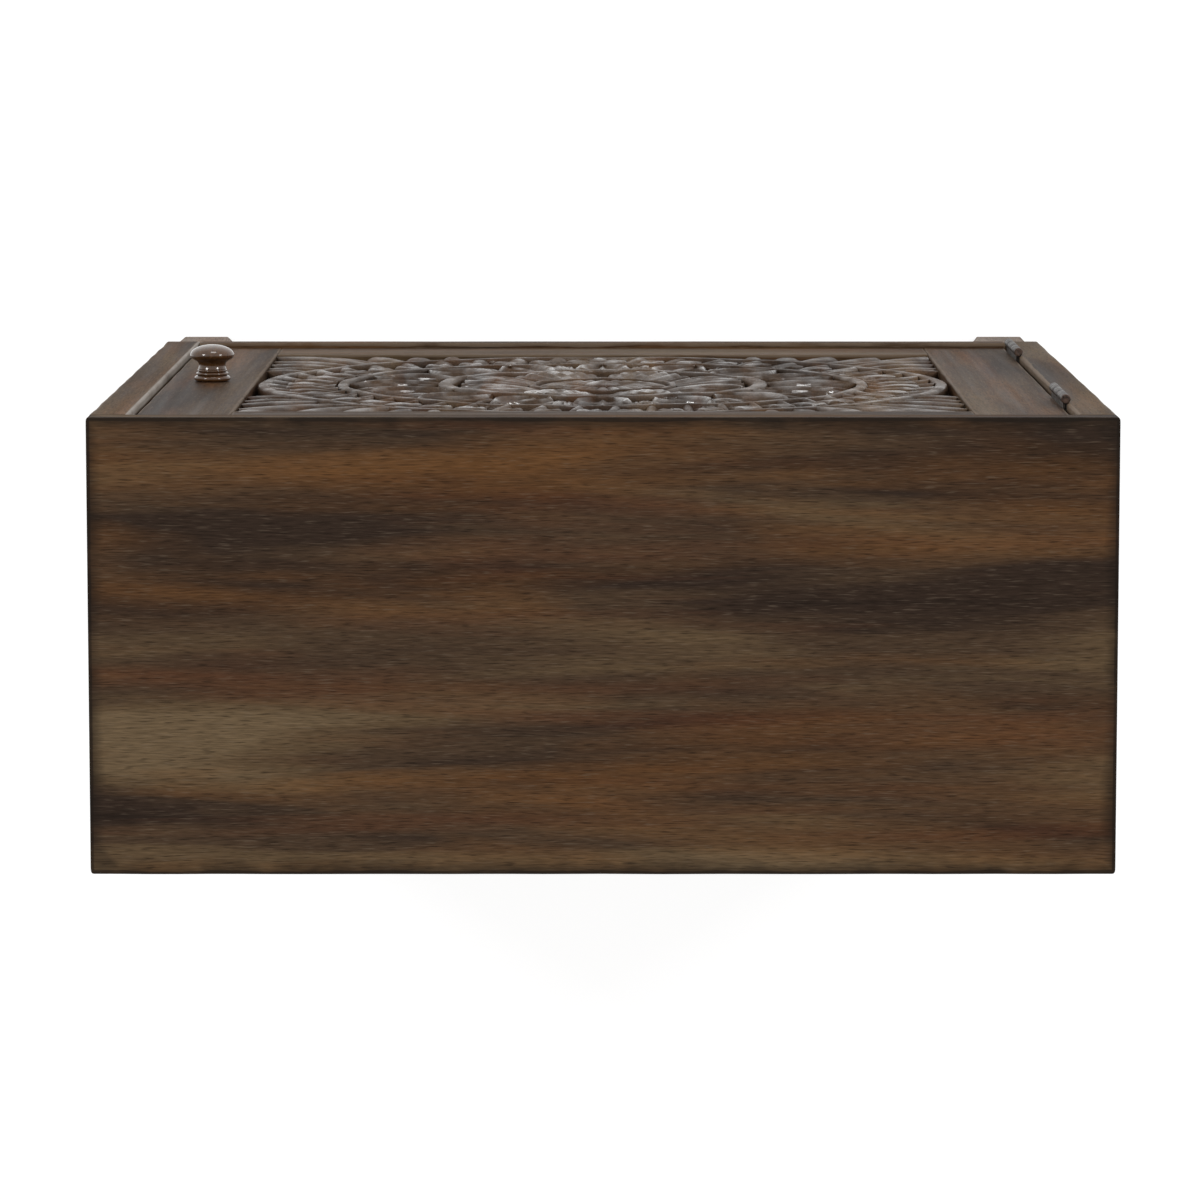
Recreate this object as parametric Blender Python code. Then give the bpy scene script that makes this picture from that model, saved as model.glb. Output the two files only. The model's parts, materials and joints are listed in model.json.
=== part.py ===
"""Accent cabinet: a free-standing wooden case on four block feet, closed by one carved door.

Lengths are in metres and +Z is up. The front faces -Y, the hinges are on the -X side and the knob is on
the +X side. The origin lies on the floor, under the middle of the whole cabinet.
"""

import math

import bmesh
import bpy
import numpy as np
from mathutils import Matrix, Vector

# Case boards
CASE_WIDTH = 0.711
CASE_DEPTH = 0.318
CASE_HEIGHT = 0.711
TOP_THICKNESS = 0.025
SIDE_THICKNESS = 0.027
BOTTOM_THICKNESS = 0.022
BACK_THICKNESS = 0.006
BACK_RABBET = 0.010
EDGE_EASING = 0.0018

# Feet: square blocks whose inner faces taper towards the floor
FOOT_HEIGHT = 0.066
FOOT_TOP_SIZE = 0.046
FOOT_SOLE_SIZE = 0.037
FOOT_SIDE_INSET = 0.009
FOOT_END_INSET = 0.001
FOOT_EASING = 0.0015
BOLT_RADIUS = 0.004
BOLT_IN_FOOT = 0.040
BOLT_IN_CASE = 0.016
BOLT_FROM_SIDE = 0.012

# Shelf on four pins, with spare pin holes above and below
SHELF_THICKNESS = 0.018
SHELF_SETBACK = 0.015
SHELF_BACK_GAP = 0.002
SHELF_RISE = 0.330
PIN_PEG_RADIUS = 0.0025
PIN_PEG_DEPTH = 0.009
PIN_SUPPORT = 0.010
PIN_COLLAR_RADIUS = 0.004
PIN_COLLAR = 0.0015
PIN_ROW_SPACING = 0.064
PIN_FROM_SHELF_EDGE = 0.045

# Door frame and panel
DOOR_RECESS = 0.0040
DOOR_THICKNESS = 0.022
DOOR_GAP = 0.002
STILE_WIDTH = 0.066
RAIL_WIDTH = 0.069
FRAME_EASING = 0.0012
GROOVE_DEPTH = 0.009
TENON_SHOULDER = 0.004
PANEL_GROUND = 0.010
PANEL_THICKNESS = 0.008
PANEL_PLAY = 0.001

# Carving on the panel: radii are shares of the round carving's own radius, heights stand on the ground
CARVING_MARGIN = 0.0008
CARVING_STEPS = 144
CARVING_LOW = 0.0012
BOSS_SHARE = 0.054
BOSS_CROWN = 0.6
BOSS_HEIGHT = 0.0102
ROSETTE_HEIGHT = 0.0085
ROSETTE_LOW = 0.0045
ROSETTE_FLUTES = 24
RING_SHARES = ((0.192, 0.212), (0.431, 0.477), (0.732, 0.770), (0.962, 1.000))
RING_HEIGHT = 0.0096
RING_SLOPE = 0.0016
SHELLS = 8
SHELL_HEIGHT = 0.0090
SHELL_PARTS = (0.05, 0.35, 0.70, 0.95)
SHELL_SHOULDER = 0.62
LOTUS_PETALS = 16
LOTUS_HEIGHT = 0.0092
LOTUS_PARTS = (0.05, 0.24, 0.44, 0.64, 0.82, 0.96)
LOTUS_SPREAD = 0.78
LOTUS_HOLLOW = 0.50
LEAF_SPRAY_HEIGHT = 0.0062
CURLS = 48
CURL_HEIGHT = 0.0076
CURL_PARTS = (0.06, 0.35, 0.70, 0.94)
CURL_LEAN = 0.5
CORNER_LEAF_HEIGHT = 0.0090
CORNER_LEAF_PARTS = ((0.08, 0.85), (0.50, 1.00), (0.93, 0.75))
CORNER_LEAF_ANGLE = math.radians(5)
CORNER_LEAF_VALLEY = 0.30
CORNER_LEAVES = 9

# Turned knob
KNOB_LENGTH = 0.0275
KNOB_HEAD_RADIUS = 0.0165
KNOB_HEAD_RISE = 0.0078
KNOB_HEAD_DROP = 0.0062
KNOB_NECK_RADIUS = 0.0094
KNOB_FOOT_RADIUS = 0.0135
KNOB_BEAD = 0.0020
KNOB_STEP = 0.0017
KNOB_SCREW_BITE = 0.012

# Butt hinges
HINGE_LENGTH = 0.100
UPPER_HINGE_DROP = 0.117
LOWER_HINGE_RISE = 0.056
HINGE_AXIS_PROUD = 0.003
KNUCKLE_RADIUS = 0.0034
KNUCKLE_GAP = 0.0004
HINGE_PIN_RADIUS = 0.0016
HINGE_PIN_HEAD = 0.0018
LEAF_THICKNESS = 0.0016
LEAF_SPACING = 0.0004
LEAF_REACH = 0.026
HINGE_SCREW_SPACING = 0.060

# Magnetic catch under the top, and its strike plate on the door
CATCH_LENGTH = 0.046
CATCH_DEPTH = 0.014
CATCH_HEIGHT = 0.013
CATCH_SCREW_SPACING = 0.036
MAGNET_LENGTH = 0.022
MAGNET_DEPTH = 0.009
MAGNET_HEIGHT = 0.007
MAGNET_PROUD = 0.0006
STRIKE_LENGTH = 0.036
STRIKE_HEIGHT = 0.012
STRIKE_THICKNESS = 0.0015

# Dowels and screws
DOWEL_RADIUS = 0.004
DOWEL_FROM_EDGE = 0.060
DOWEL_IN_TOP = 0.015
DOWEL_IN_SIDE = 0.014
DOWEL_LENGTH = 0.040
BACK_SCREW_ROWS = 3
BACK_SCREW_FROM_END = 0.060
SCREW_HEAD_RADIUS = 0.0030
SCREW_HEAD_HEIGHT = 0.0014
SCREW_SHANK_RADIUS = 0.0015
SCREW_TIP = 0.003
SCREW_BITE = 0.012
SCREW_SINK = 0.0002

# Clearances: FIT is left between touching pieces, OVERCUT is how far a cutter starts outside the wood
FIT = 0.0003
OVERCUT = 0.004
MERGE_DISTANCE = 0.000001
ROUND_STEPS = 24
SMALL_STEPS = 12

# Finishes: colour, roughness, metallic
WALNUT = ((0.070, 0.044, 0.027), 0.45, 0.0)
FRONT_WALNUT = ((0.066, 0.043, 0.027), 0.45, 0.0)
CARVED_WALNUT = ((0.062, 0.042, 0.029), 0.35, 0.0)
WORN_WOOD = ((0.300, 0.240, 0.200), 0.60, 0.0)
TURNED_WOOD = ((0.068, 0.042, 0.025), 0.25, 0.0)
PLYWOOD = ((0.190, 0.130, 0.085), 0.60, 0.0)
BEECH = ((0.520, 0.360, 0.220), 0.60, 0.0)
AGED_METAL = ((0.070, 0.065, 0.060), 0.45, 0.9)
RUSTED_METAL = ((0.130, 0.070, 0.045), 0.60, 0.8)
STEEL = ((0.450, 0.450, 0.450), 0.35, 1.0)
BROWN_PLASTIC = ((0.100, 0.060, 0.040), 0.50, 0.0)

# Places worked out from the sizes above
CASE_BOTTOM = FOOT_HEIGHT
CASE_TOP = FOOT_HEIGHT + CASE_HEIGHT
KNOB_REACH = KNOB_LENGTH + FIT - DOOR_RECESS
FRONT = -(CASE_DEPTH - KNOB_REACH) / 2
BACK = FRONT + CASE_DEPTH
OUTER_X = CASE_WIDTH / 2
INNER_X = OUTER_X - SIDE_THICKNESS
OPENING_TOP = CASE_TOP - TOP_THICKNESS
OPENING_BOTTOM = CASE_BOTTOM + BOTTOM_THICKNESS
BACK_FACE = BACK - BACK_THICKNESS
DOOR_FACE = FRONT + DOOR_RECESS
DOOR_BACK = DOOR_FACE + DOOR_THICKNESS
DOOR_X = INNER_X - DOOR_GAP
DOOR_BOTTOM = OPENING_BOTTOM + DOOR_GAP
DOOR_TOP = OPENING_TOP - DOOR_GAP
PANEL_X = DOOR_X - STILE_WIDTH
PANEL_BOTTOM = DOOR_BOTTOM + RAIL_WIDTH
PANEL_TOP = DOOR_TOP - RAIL_WIDTH
GROUND_Y = DOOR_FACE + PANEL_GROUND
STILE_CENTRE_X = (PANEL_X + DOOR_X) / 2
DOOR_CENTRE_Z = (DOOR_BOTTOM + DOOR_TOP) / 2
AXIS_X = -INNER_X + DOOR_GAP / 2
AXIS_Y = FRONT - HINGE_AXIS_PROUD
UPPER_HINGE_Z = CASE_TOP - UPPER_HINGE_DROP - HINGE_LENGTH / 2
LOWER_HINGE_Z = CASE_BOTTOM + LOWER_HINGE_RISE + HINGE_LENGTH / 2

UP = Vector((0, 0, 1))
RIGHT = Vector((1, 0, 0))
REAR = Vector((0, 1, 0))
SIDES = (("left", -1), ("right", 1))
ENDS = (("front", 1), ("back", -1))

pockets = {}


def clear_scene():
    """Take away whatever the scene holds."""
    for item in list(bpy.data.objects):
        bpy.data.objects.remove(item, do_unlink=True)


def finish_material(name, finish):
    """A plain shader with the piece's colour, roughness and metallic value."""
    colour, roughness, metallic = finish
    material = bpy.data.materials.new(name + "_finish")
    material.use_nodes = True
    shader = material.node_tree.nodes["Principled BSDF"]
    shader.inputs["Base Color"].default_value = (*colour, 1.0)
    shader.inputs["Roughness"].default_value = roughness
    shader.inputs["Metallic"].default_value = metallic
    return material


def placement(location, direction=UP):
    """The matrix that puts a shape at a place and turns its own +Z along a direction."""
    turn = UP.rotation_difference(Vector(direction)).to_matrix().to_4x4()
    return Matrix.Translation(Vector(location)) @ turn


def add_object(name, shape, finish, place=None, smooth=False):
    """Turn a bmesh into a named object in its own finish."""
    mesh = bpy.data.meshes.new(name)
    bmesh.ops.recalc_face_normals(shape, faces=shape.faces)
    shape.to_mesh(mesh)
    shape.free()
    if smooth:
        mesh.shade_smooth()
        mesh.set_sharp_from_angle(angle=math.radians(35))
    item = bpy.data.objects.new(name, mesh)
    item.matrix_world = place or Matrix.Identity(4)
    bpy.context.collection.objects.link(item)
    if finish:
        mesh.materials.append(finish_material(name, finish))
    return item


def box(size):
    """A box round its own middle."""
    shape = bmesh.new()
    bmesh.ops.create_cube(shape, size=1.0)
    bmesh.ops.scale(shape, vec=size, verts=shape.verts)
    return shape


def add_board(name, low, high, finish):
    """A board between two corners, with its origin in its middle."""
    low = Vector(low)
    high = Vector(high)
    return add_object(name, box(high - low), finish, placement((low + high) / 2))


def prism(outline, across, along, sweep):
    """An outline in the plane of two directions, extruded by the vector sweep."""
    shape = bmesh.new()
    corners = [shape.verts.new(across * u + along * v) for u, v in outline]
    face = shape.faces.new(corners)
    swept = bmesh.ops.extrude_face_region(shape, geom=[face])
    moved = [part for part in swept["geom"] if isinstance(part, bmesh.types.BMVert)]
    bmesh.ops.translate(shape, vec=sweep, verts=moved)
    return shape


def turned(profile, steps=ROUND_STEPS, closed=False):
    """A profile of (radius, height) points spun round its own Z."""
    shape = bmesh.new()
    points = [shape.verts.new((radius, 0.0, height)) for radius, height in profile]
    followers = points[1:] + points[:1] if closed else points[1:]
    edges = [shape.edges.new(pair) for pair in zip(points, followers)]
    bmesh.ops.spin(shape, geom=points + edges, cent=(0, 0, 0), axis=UP, angle=2 * math.pi,
                   steps=steps, use_merge=True, use_duplicate=False)
    bmesh.ops.remove_doubles(shape, verts=shape.verts, dist=MERGE_DISTANCE)
    return shape


def rod(radius, start, end, steps=SMALL_STEPS):
    """A plain round bar along its own Z."""
    return turned([(0, start), (radius, start), (radius, end), (0, end)], steps)


def arc(centre_radius, centre_height, across, along, start, end, count):
    """Points on an elliptic arc, with its angles in degrees."""
    angles = np.radians(np.linspace(start, end, count))
    radii = centre_radius + across * np.cos(angles)
    heights = centre_height + along * np.sin(angles)
    return list(zip(radii.tolist(), heights.tolist()))


def bevel_edges(item, width):
    """Ease every edge of an object with a small round."""
    bevel = item.modifiers.new("easing", "BEVEL")
    bevel.width = width
    bevel.segments = 2
    bevel.limit_method = "ANGLE"


def combine(item, other, operation, label):
    """Join or cut an object with a hidden helper object."""
    other.hide_render = True
    other.display_type = "WIRE"
    modifier = item.modifiers.new(label, "BOOLEAN")
    modifier.operation = operation
    modifier.solver = "EXACT"
    modifier.object = other


def cut_box(item, low, high, label):
    """Cut a box-shaped recess out of an object."""
    cutter = add_board(item.name + "_" + label, low, high, None)
    combine(item, cutter, "DIFFERENCE", label)


def pocket(targets, shape, place):
    """Keep a cutter for each of the named pieces, until all of them are made."""
    mesh = bpy.data.meshes.new("pocket")
    bmesh.ops.recalc_face_normals(shape, faces=shape.faces)
    shape.to_mesh(mesh)
    shape.free()
    mesh.transform(place)
    for target in targets:
        pockets.setdefault(target, []).append(mesh)


def cut_pockets():
    """Cut every kept pocket, with one cutter for each piece of wood or metal."""
    for target, meshes in pockets.items():
        shape = bmesh.new()
        for mesh in meshes:
            shape.from_mesh(mesh)
        cutter = add_object(target + "_pockets", shape, None)
        combine(bpy.data.objects[target], cutter, "DIFFERENCE", "pockets")


def add_screw(name, targets, location, direction, length, finish=AGED_METAL):
    """A countersunk wood screw, and its pilot hole in each piece that it passes through."""
    place = placement(location, direction)
    neck = length - SCREW_TIP
    profile = [(0, 0), (SCREW_HEAD_RADIUS, 0), (SCREW_SHANK_RADIUS, SCREW_HEAD_HEIGHT),
               (SCREW_SHANK_RADIUS, neck), (0, length)]
    screw = add_object(name, turned(profile, SMALL_STEPS), finish, place, smooth=True)
    head = SCREW_HEAD_RADIUS + FIT
    shank = SCREW_SHANK_RADIUS + FIT
    hole = [(0, -OVERCUT), (head, -OVERCUT), (head, 0), (shank, SCREW_HEAD_HEIGHT + FIT),
            (shank, length + FIT), (0, length + FIT)]
    pocket(targets, turned(hole, SMALL_STEPS), place)
    return screw


def add_rod(name, targets, location, direction, length, radius, finish):
    """A dowel or bolt, and its bore in each piece that it joins."""
    place = placement(location, direction)
    piece = add_object(name, rod(radius, 0, length), finish, place, smooth=True)
    pocket(targets, rod(radius + FIT, -FIT, length + FIT), place)
    return piece


def make_case():
    """The five boards of the case: sides with a rear rabbet, top, bottom and thin back."""
    top = add_board("top_panel", (-OUTER_X, FRONT, OPENING_TOP), (OUTER_X, BACK, CASE_TOP), WALNUT)
    bevel_edges(top, EDGE_EASING)
    ease = EDGE_EASING
    ledge = INNER_X + BACK_RABBET
    rabbet_y = BACK_FACE - FIT
    outline = [(INNER_X, FRONT + ease), (INNER_X + ease, FRONT), (OUTER_X - ease, FRONT),
               (OUTER_X, FRONT + ease), (OUTER_X, BACK - ease), (OUTER_X - ease, BACK),
               (ledge, BACK), (ledge, rabbet_y), (INNER_X, rabbet_y)]
    height = OPENING_TOP - FIT - CASE_BOTTOM
    for word, sign in SIDES:
        shape = prism(outline, RIGHT * sign, REAR, UP * height)
        add_object(word + "_side_panel", shape, FRONT_WALNUT, placement((0, 0, CASE_BOTTOM)))
    floor_x = INNER_X - FIT
    add_board("bottom_panel", (-floor_x, FRONT, CASE_BOTTOM), (floor_x, BACK_FACE - FIT, OPENING_BOTTOM),
              FRONT_WALNUT)
    back_x = ledge - FIT
    add_board("back_panel", (-back_x, BACK_FACE, CASE_BOTTOM), (back_x, BACK, OPENING_TOP - FIT), PLYWOOD)


def make_case_joinery():
    """Dowels between the boards, and the screws that hold the back in its rabbets."""
    side_x = OUTER_X - SIDE_THICKNESS / 2
    for side, sign in SIDES:
        panel = side + "_side_panel"
        for end, inward in ENDS:
            edge = FRONT if end == "front" else BACK
            y = edge + inward * DOWEL_FROM_EDGE
            start = OPENING_TOP + DOWEL_IN_TOP - DOWEL_LENGTH
            add_rod(f"top_dowel_{end}_{side}", ("top_panel", panel), (sign * side_x, y, start), UP,
                    DOWEL_LENGTH, DOWEL_RADIUS, BEECH)
            start = INNER_X + DOWEL_IN_SIDE - DOWEL_LENGTH
            middle = CASE_BOTTOM + BOTTOM_THICKNESS / 2
            add_rod(f"bottom_dowel_{end}_{side}", ("bottom_panel", panel), (sign * start, y, middle),
                    RIGHT * sign, DOWEL_LENGTH, DOWEL_RADIUS, BEECH)
        low = OPENING_BOTTOM + BACK_SCREW_FROM_END
        high = OPENING_TOP - BACK_SCREW_FROM_END
        heights = np.linspace(low, high, BACK_SCREW_ROWS).tolist()
        for number, z in enumerate(heights, start=1):
            place = (sign * (INNER_X + BACK_RABBET / 2), BACK - SCREW_SINK, z)
            add_screw(f"back_screw_{side}_{number}", ("back_panel", panel), place, -REAR,
                      BACK_THICKNESS + FIT + SCREW_BITE, STEEL)


def foot_shape(sign, inward):
    """A block with upright outer faces, whose two inner faces lean in towards the sole."""
    shape = bmesh.new()
    for size, z in ((FOOT_SOLE_SIZE, 0.0), (FOOT_TOP_SIZE, FOOT_HEIGHT - FIT)):
        corners = ((0, 0), (size, 0), (size, size), (0, size))
        for u, v in corners:
            shape.verts.new((-sign * u, inward * v, z))
    bmesh.ops.convex_hull(shape, input=shape.verts)
    bmesh.ops.dissolve_limit(shape, angle_limit=math.radians(1), verts=shape.verts, edges=shape.edges)
    return shape


def make_feet():
    """Four feet under the corners, each on a hanger bolt screwed up into the bottom board."""
    for side, sign in SIDES:
        for end, inward in ENDS:
            edge = FRONT if end == "front" else BACK
            corner = (sign * (OUTER_X - FOOT_SIDE_INSET), edge + inward * FOOT_END_INSET, 0)
            name = f"foot_{end}_{side}"
            foot = add_object(name, foot_shape(sign, inward), WORN_WOOD, placement(corner))
            bevel_edges(foot, FOOT_EASING)
            place = (sign * (INNER_X - BOLT_FROM_SIDE), corner[1] + inward * FOOT_SOLE_SIZE / 2,
                     FOOT_HEIGHT - BOLT_IN_FOOT)
            add_rod(f"foot_bolt_{end}_{side}", (name, "bottom_panel"), place, UP,
                    BOLT_IN_FOOT + BOLT_IN_CASE, BOLT_RADIUS, STEEL)


def make_shelf():
    """A loose shelf lying on four collared pins, with two spare rows of pin holes."""
    pin_z = OPENING_BOTTOM + SHELF_RISE
    low_z = pin_z + PIN_PEG_RADIUS + FIT
    front_y = DOOR_BACK + SHELF_SETBACK
    back_y = BACK_FACE - SHELF_BACK_GAP
    end_x = INNER_X - PIN_COLLAR - 2 * FIT
    add_board("shelf", (-end_x, front_y, low_z), (end_x, back_y, low_z + SHELF_THICKNESS), FRONT_WALNUT)
    collar_end = PIN_SUPPORT + PIN_COLLAR
    peg_end = collar_end + FIT + PIN_PEG_DEPTH
    profile = [(0, 0), (PIN_PEG_RADIUS, 0), (PIN_PEG_RADIUS, PIN_SUPPORT),
               (PIN_COLLAR_RADIUS, PIN_SUPPORT), (PIN_COLLAR_RADIUS, collar_end),
               (PIN_PEG_RADIUS, collar_end), (PIN_PEG_RADIUS, peg_end), (0, peg_end)]
    for side, sign in SIDES:
        for end, inward in ENDS:
            edge = front_y if end == "front" else back_y
            y = edge + inward * PIN_FROM_SHELF_EDGE
            start = (sign * (INNER_X - FIT - collar_end), y, pin_z)
            place = placement(start, RIGHT * sign)
            add_object(f"shelf_pin_{end}_{side}", turned(profile, SMALL_STEPS), STEEL, place, smooth=True)
            for row in (-1, 0, 1):
                mouth = (sign * INNER_X, y, pin_z + row * PIN_ROW_SPACING)
                hole = rod(PIN_PEG_RADIUS + FIT, -OVERCUT, PIN_PEG_DEPTH + FIT)
                pocket((side + "_side_panel",), hole, placement(mouth, RIGHT * sign))


def make_door_frame():
    """Two grooved stiles, and two grooved rails whose stub tenons sit in the stiles' grooves."""
    ease = FRAME_EASING
    groove_front = GROUND_Y - FIT
    groove_back = GROUND_Y + PANEL_THICKNESS + FIT

    def grooved(outer, inner):
        """A frame member's section, with its groove in the edge at inner."""
        inward = math.copysign(1, inner - outer)
        floor = inner - inward * GROOVE_DEPTH
        return [(outer, DOOR_FACE + ease), (outer + inward * ease, DOOR_FACE),
                (inner - inward * ease, DOOR_FACE), (inner, DOOR_FACE + ease), (inner, groove_front),
                (floor, groove_front), (floor, groove_back), (inner, groove_back),
                (inner, DOOR_BACK), (outer, DOOR_BACK)]

    for name, sign in (("door_hinge_stile", -1), ("door_knob_stile", 1)):
        section = grooved(sign * DOOR_X, sign * PANEL_X)
        shape = prism(section, RIGHT, REAR, UP * (DOOR_TOP - DOOR_BOTTOM))
        add_object(name, shape, FRONT_WALNUT, placement((0, 0, DOOR_BOTTOM)))
    rail_x = PANEL_X - FIT
    tenon_x = PANEL_X + GROOVE_DEPTH - FIT
    for name, outer, inner in (("door_top_rail", DOOR_TOP, PANEL_TOP),
                               ("door_bottom_rail", DOOR_BOTTOM, PANEL_BOTTOM)):
        shape = prism(grooved(outer, inner), UP, REAR, RIGHT * (2 * rail_x))
        rail = add_object(name, shape, FRONT_WALNUT, placement((-rail_x, 0, 0)))
        inward = math.copysign(1, inner - outer)
        edge = outer + inward * TENON_SHOULDER
        floor = inner - inward * (GROOVE_DEPTH + TENON_SHOULDER)
        low_z, high_z = sorted((edge, floor))
        tenon = add_board(name + "_tenon", (-tenon_x, GROUND_Y, low_z),
                          (tenon_x, GROUND_Y + PANEL_THICKNESS, high_z), None)
        combine(rail, tenon, "UNION", "tenon")


def off_lobe(angle, count, start=0.0):
    """How far each angle lies from the middle of its lobe: 0 there, and 1 half-way to the next lobe."""
    turn = (angle - start) * count / (2 * math.pi)
    return 2 * np.abs(turn - np.round(turn))


def carving_rows(angle, radius):
    """Rows of the round carving from the middle out: a radius, and the height at each angle."""
    level = np.zeros_like(angle)
    boss = BOSS_SHARE * radius
    rings = [(inner * radius, outer * radius) for inner, outer in RING_SHARES]
    flute = ROSETTE_HEIGHT - (ROSETTE_HEIGHT - ROSETTE_LOW) * off_lobe(angle, ROSETTE_FLUTES) ** 2
    rows = [(BOSS_CROWN * boss, level + BOSS_HEIGHT), (boss, level + ROSETTE_LOW),
            (boss + RING_SLOPE, flute), (rings[0][0] - RING_SLOPE, flute)]
    for inner, outer in rings:
        foot = 0 if outer == rings[-1][1] else CARVING_LOW
        rows += [(inner, level + CARVING_LOW), (inner + RING_SLOPE, level + RING_HEIGHT),
                 (outer - RING_SLOPE, level + RING_HEIGHT), (outer, level + foot)]
    zones = [(before[1], after[0]) for before, after in zip(rings, rings[1:])]

    def place(zone, part):
        """The radius at a part of the way across a zone between two rings."""
        return zone[0] + (zone[1] - zone[0]) * part

    across = off_lobe(angle, SHELLS, math.pi / SHELLS)
    for part in SHELL_PARTS:
        past = max(0.0, part - SHELL_SHOULDER) / (1 - SHELL_SHOULDER)
        side = np.clip(across / math.sqrt(1 - past ** 2), 0, 1)
        shell = CARVING_LOW + (SHELL_HEIGHT - CARVING_LOW) * np.sqrt(1 - side ** 4)
        rows.append((place(zones[0], part), shell))
    across = off_lobe(angle, LOTUS_PETALS)
    for part in LOTUS_PARTS:
        width = LOTUS_SPREAD * math.sin(math.pi * (0.12 + 0.86 * part)) ** 0.85
        side = across / width
        petal = LOTUS_HEIGHT * (LOTUS_HOLLOW + (1 - LOTUS_HOLLOW) * np.abs(np.cos(math.pi * side)))
        spray = CARVING_LOW + (LEAF_SPRAY_HEIGHT - CARVING_LOW) * math.sin(math.pi * part)
        rows.append((place(zones[1], part), np.where(side < 1, petal, spray)))
    for part in CURL_PARTS:
        turn = angle * CURLS / (2 * math.pi) - CURL_LEAN * part
        leaf = np.cos(math.pi * turn) ** 2
        rows.append((place(zones[2], part), CARVING_LOW + (CURL_HEIGHT - CARVING_LOW) * leaf))
    return sorted(rows, key=lambda row: row[0])


def carved_panel_shape():
    """A flat board whose front is carved: a polar grid inside a circle, then leaves in the corners.

    Each row is a closed loop of points round the middle. The rows run from the middle to the circle,
    on to the frame's opening, and over the plain margin that sits in the grooves.
    """
    half = np.array((PANEL_X, (PANEL_TOP - PANEL_BOTTOM) / 2))
    radius = half.min() - CARVING_MARGIN
    angle = np.arange(CARVING_STEPS) * 2 * math.pi / CARVING_STEPS
    circle = np.stack((np.cos(angle), np.sin(angle)), axis=1)
    square = circle / np.abs(circle).max(axis=1, keepdims=True)
    rows = carving_rows(angle, radius)
    loops = [circle * place for place, rise in rows]
    rises = [rise for place, rise in rows]
    opening = square * (half - CARVING_MARGIN)
    from_corner = np.abs((angle % (math.pi / 2)) - math.pi / 4) / CORNER_LEAF_ANGLE
    ripple = 1 - (2 * np.abs(from_corner - np.round(from_corner))) ** 2
    leaf = np.where(from_corner < CORNER_LEAVES / 2, CORNER_LEAF_VALLEY + (1 - CORNER_LEAF_VALLEY) * ripple, 0)
    for part, rise in CORNER_LEAF_PARTS:
        loops.append(circle * radius * (1 - part) + opening * part)
        rises.append(CORNER_LEAF_HEIGHT * rise * leaf)
    margin = square * (half + GROOVE_DEPTH - PANEL_PLAY)
    for loop, rise in ((opening, 0.0), (margin, 0.0), (margin, -PANEL_THICKNESS)):
        loops.append(loop)
        rises.append(np.full(CARVING_STEPS, rise))
    shape = bmesh.new()
    middle = shape.verts.new((0, -BOSS_HEIGHT, 0))
    rings = []
    for loop, rise in zip(loops, rises):
        points = np.column_stack((loop[:, 0], -rise, loop[:, 1])).tolist()
        rings.append([shape.verts.new(point) for point in points])
    for step in range(CARVING_STEPS):
        follower = (step + 1) % CARVING_STEPS
        shape.faces.new((middle, rings[0][step], rings[0][follower]))
        for inner, outer in zip(rings, rings[1:]):
            shape.faces.new((inner[step], outer[step], outer[follower], inner[follower]))
    shape.faces.new(rings[-1])
    return shape


def make_carved_panel():
    """The carved panel, held all round in the frame's grooves with a little play."""
    place = placement((0, GROUND_Y, (PANEL_BOTTOM + PANEL_TOP) / 2))
    add_object("carved_panel", carved_panel_shape(), CARVED_WALNUT, place)


def make_knob():
    """A turned knob with two beads, a hollow neck and a mushroom head, screwed on from behind."""
    bead = KNOB_BEAD
    foot = KNOB_FOOT_RADIUS
    head_z = KNOB_LENGTH - KNOB_HEAD_RISE
    profile = [(0, 0)]
    profile += arc(foot - bead, bead, bead, bead, -90, 90, 5)
    profile += arc(foot - KNOB_STEP - bead, 3 * bead, bead, bead, -90, 90, 5)[1:]
    neck_z = (4 * bead + head_z - KNOB_HEAD_DROP) / 2
    profile += [(KNOB_NECK_RADIUS, neck_z)]
    profile += arc(0, head_z, KNOB_HEAD_RADIUS, KNOB_HEAD_DROP, -50, 0, 4)
    profile += arc(0, head_z, KNOB_HEAD_RADIUS, KNOB_HEAD_RISE, 0, 90, 6)[1:-1]
    profile += [(0, KNOB_LENGTH)]
    place = placement((STILE_CENTRE_X, DOOR_FACE - FIT, DOOR_CENTRE_Z), -REAR)
    add_object("knob", turned(profile), TURNED_WOOD, place, smooth=True)
    start = (STILE_CENTRE_X, DOOR_BACK - SCREW_SINK, DOOR_CENTRE_Z)
    add_screw("knob_screw", ("door_knob_stile", "knob"), start, -REAR,
              DOOR_THICKNESS + FIT + KNOB_SCREW_BITE, STEEL)


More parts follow.
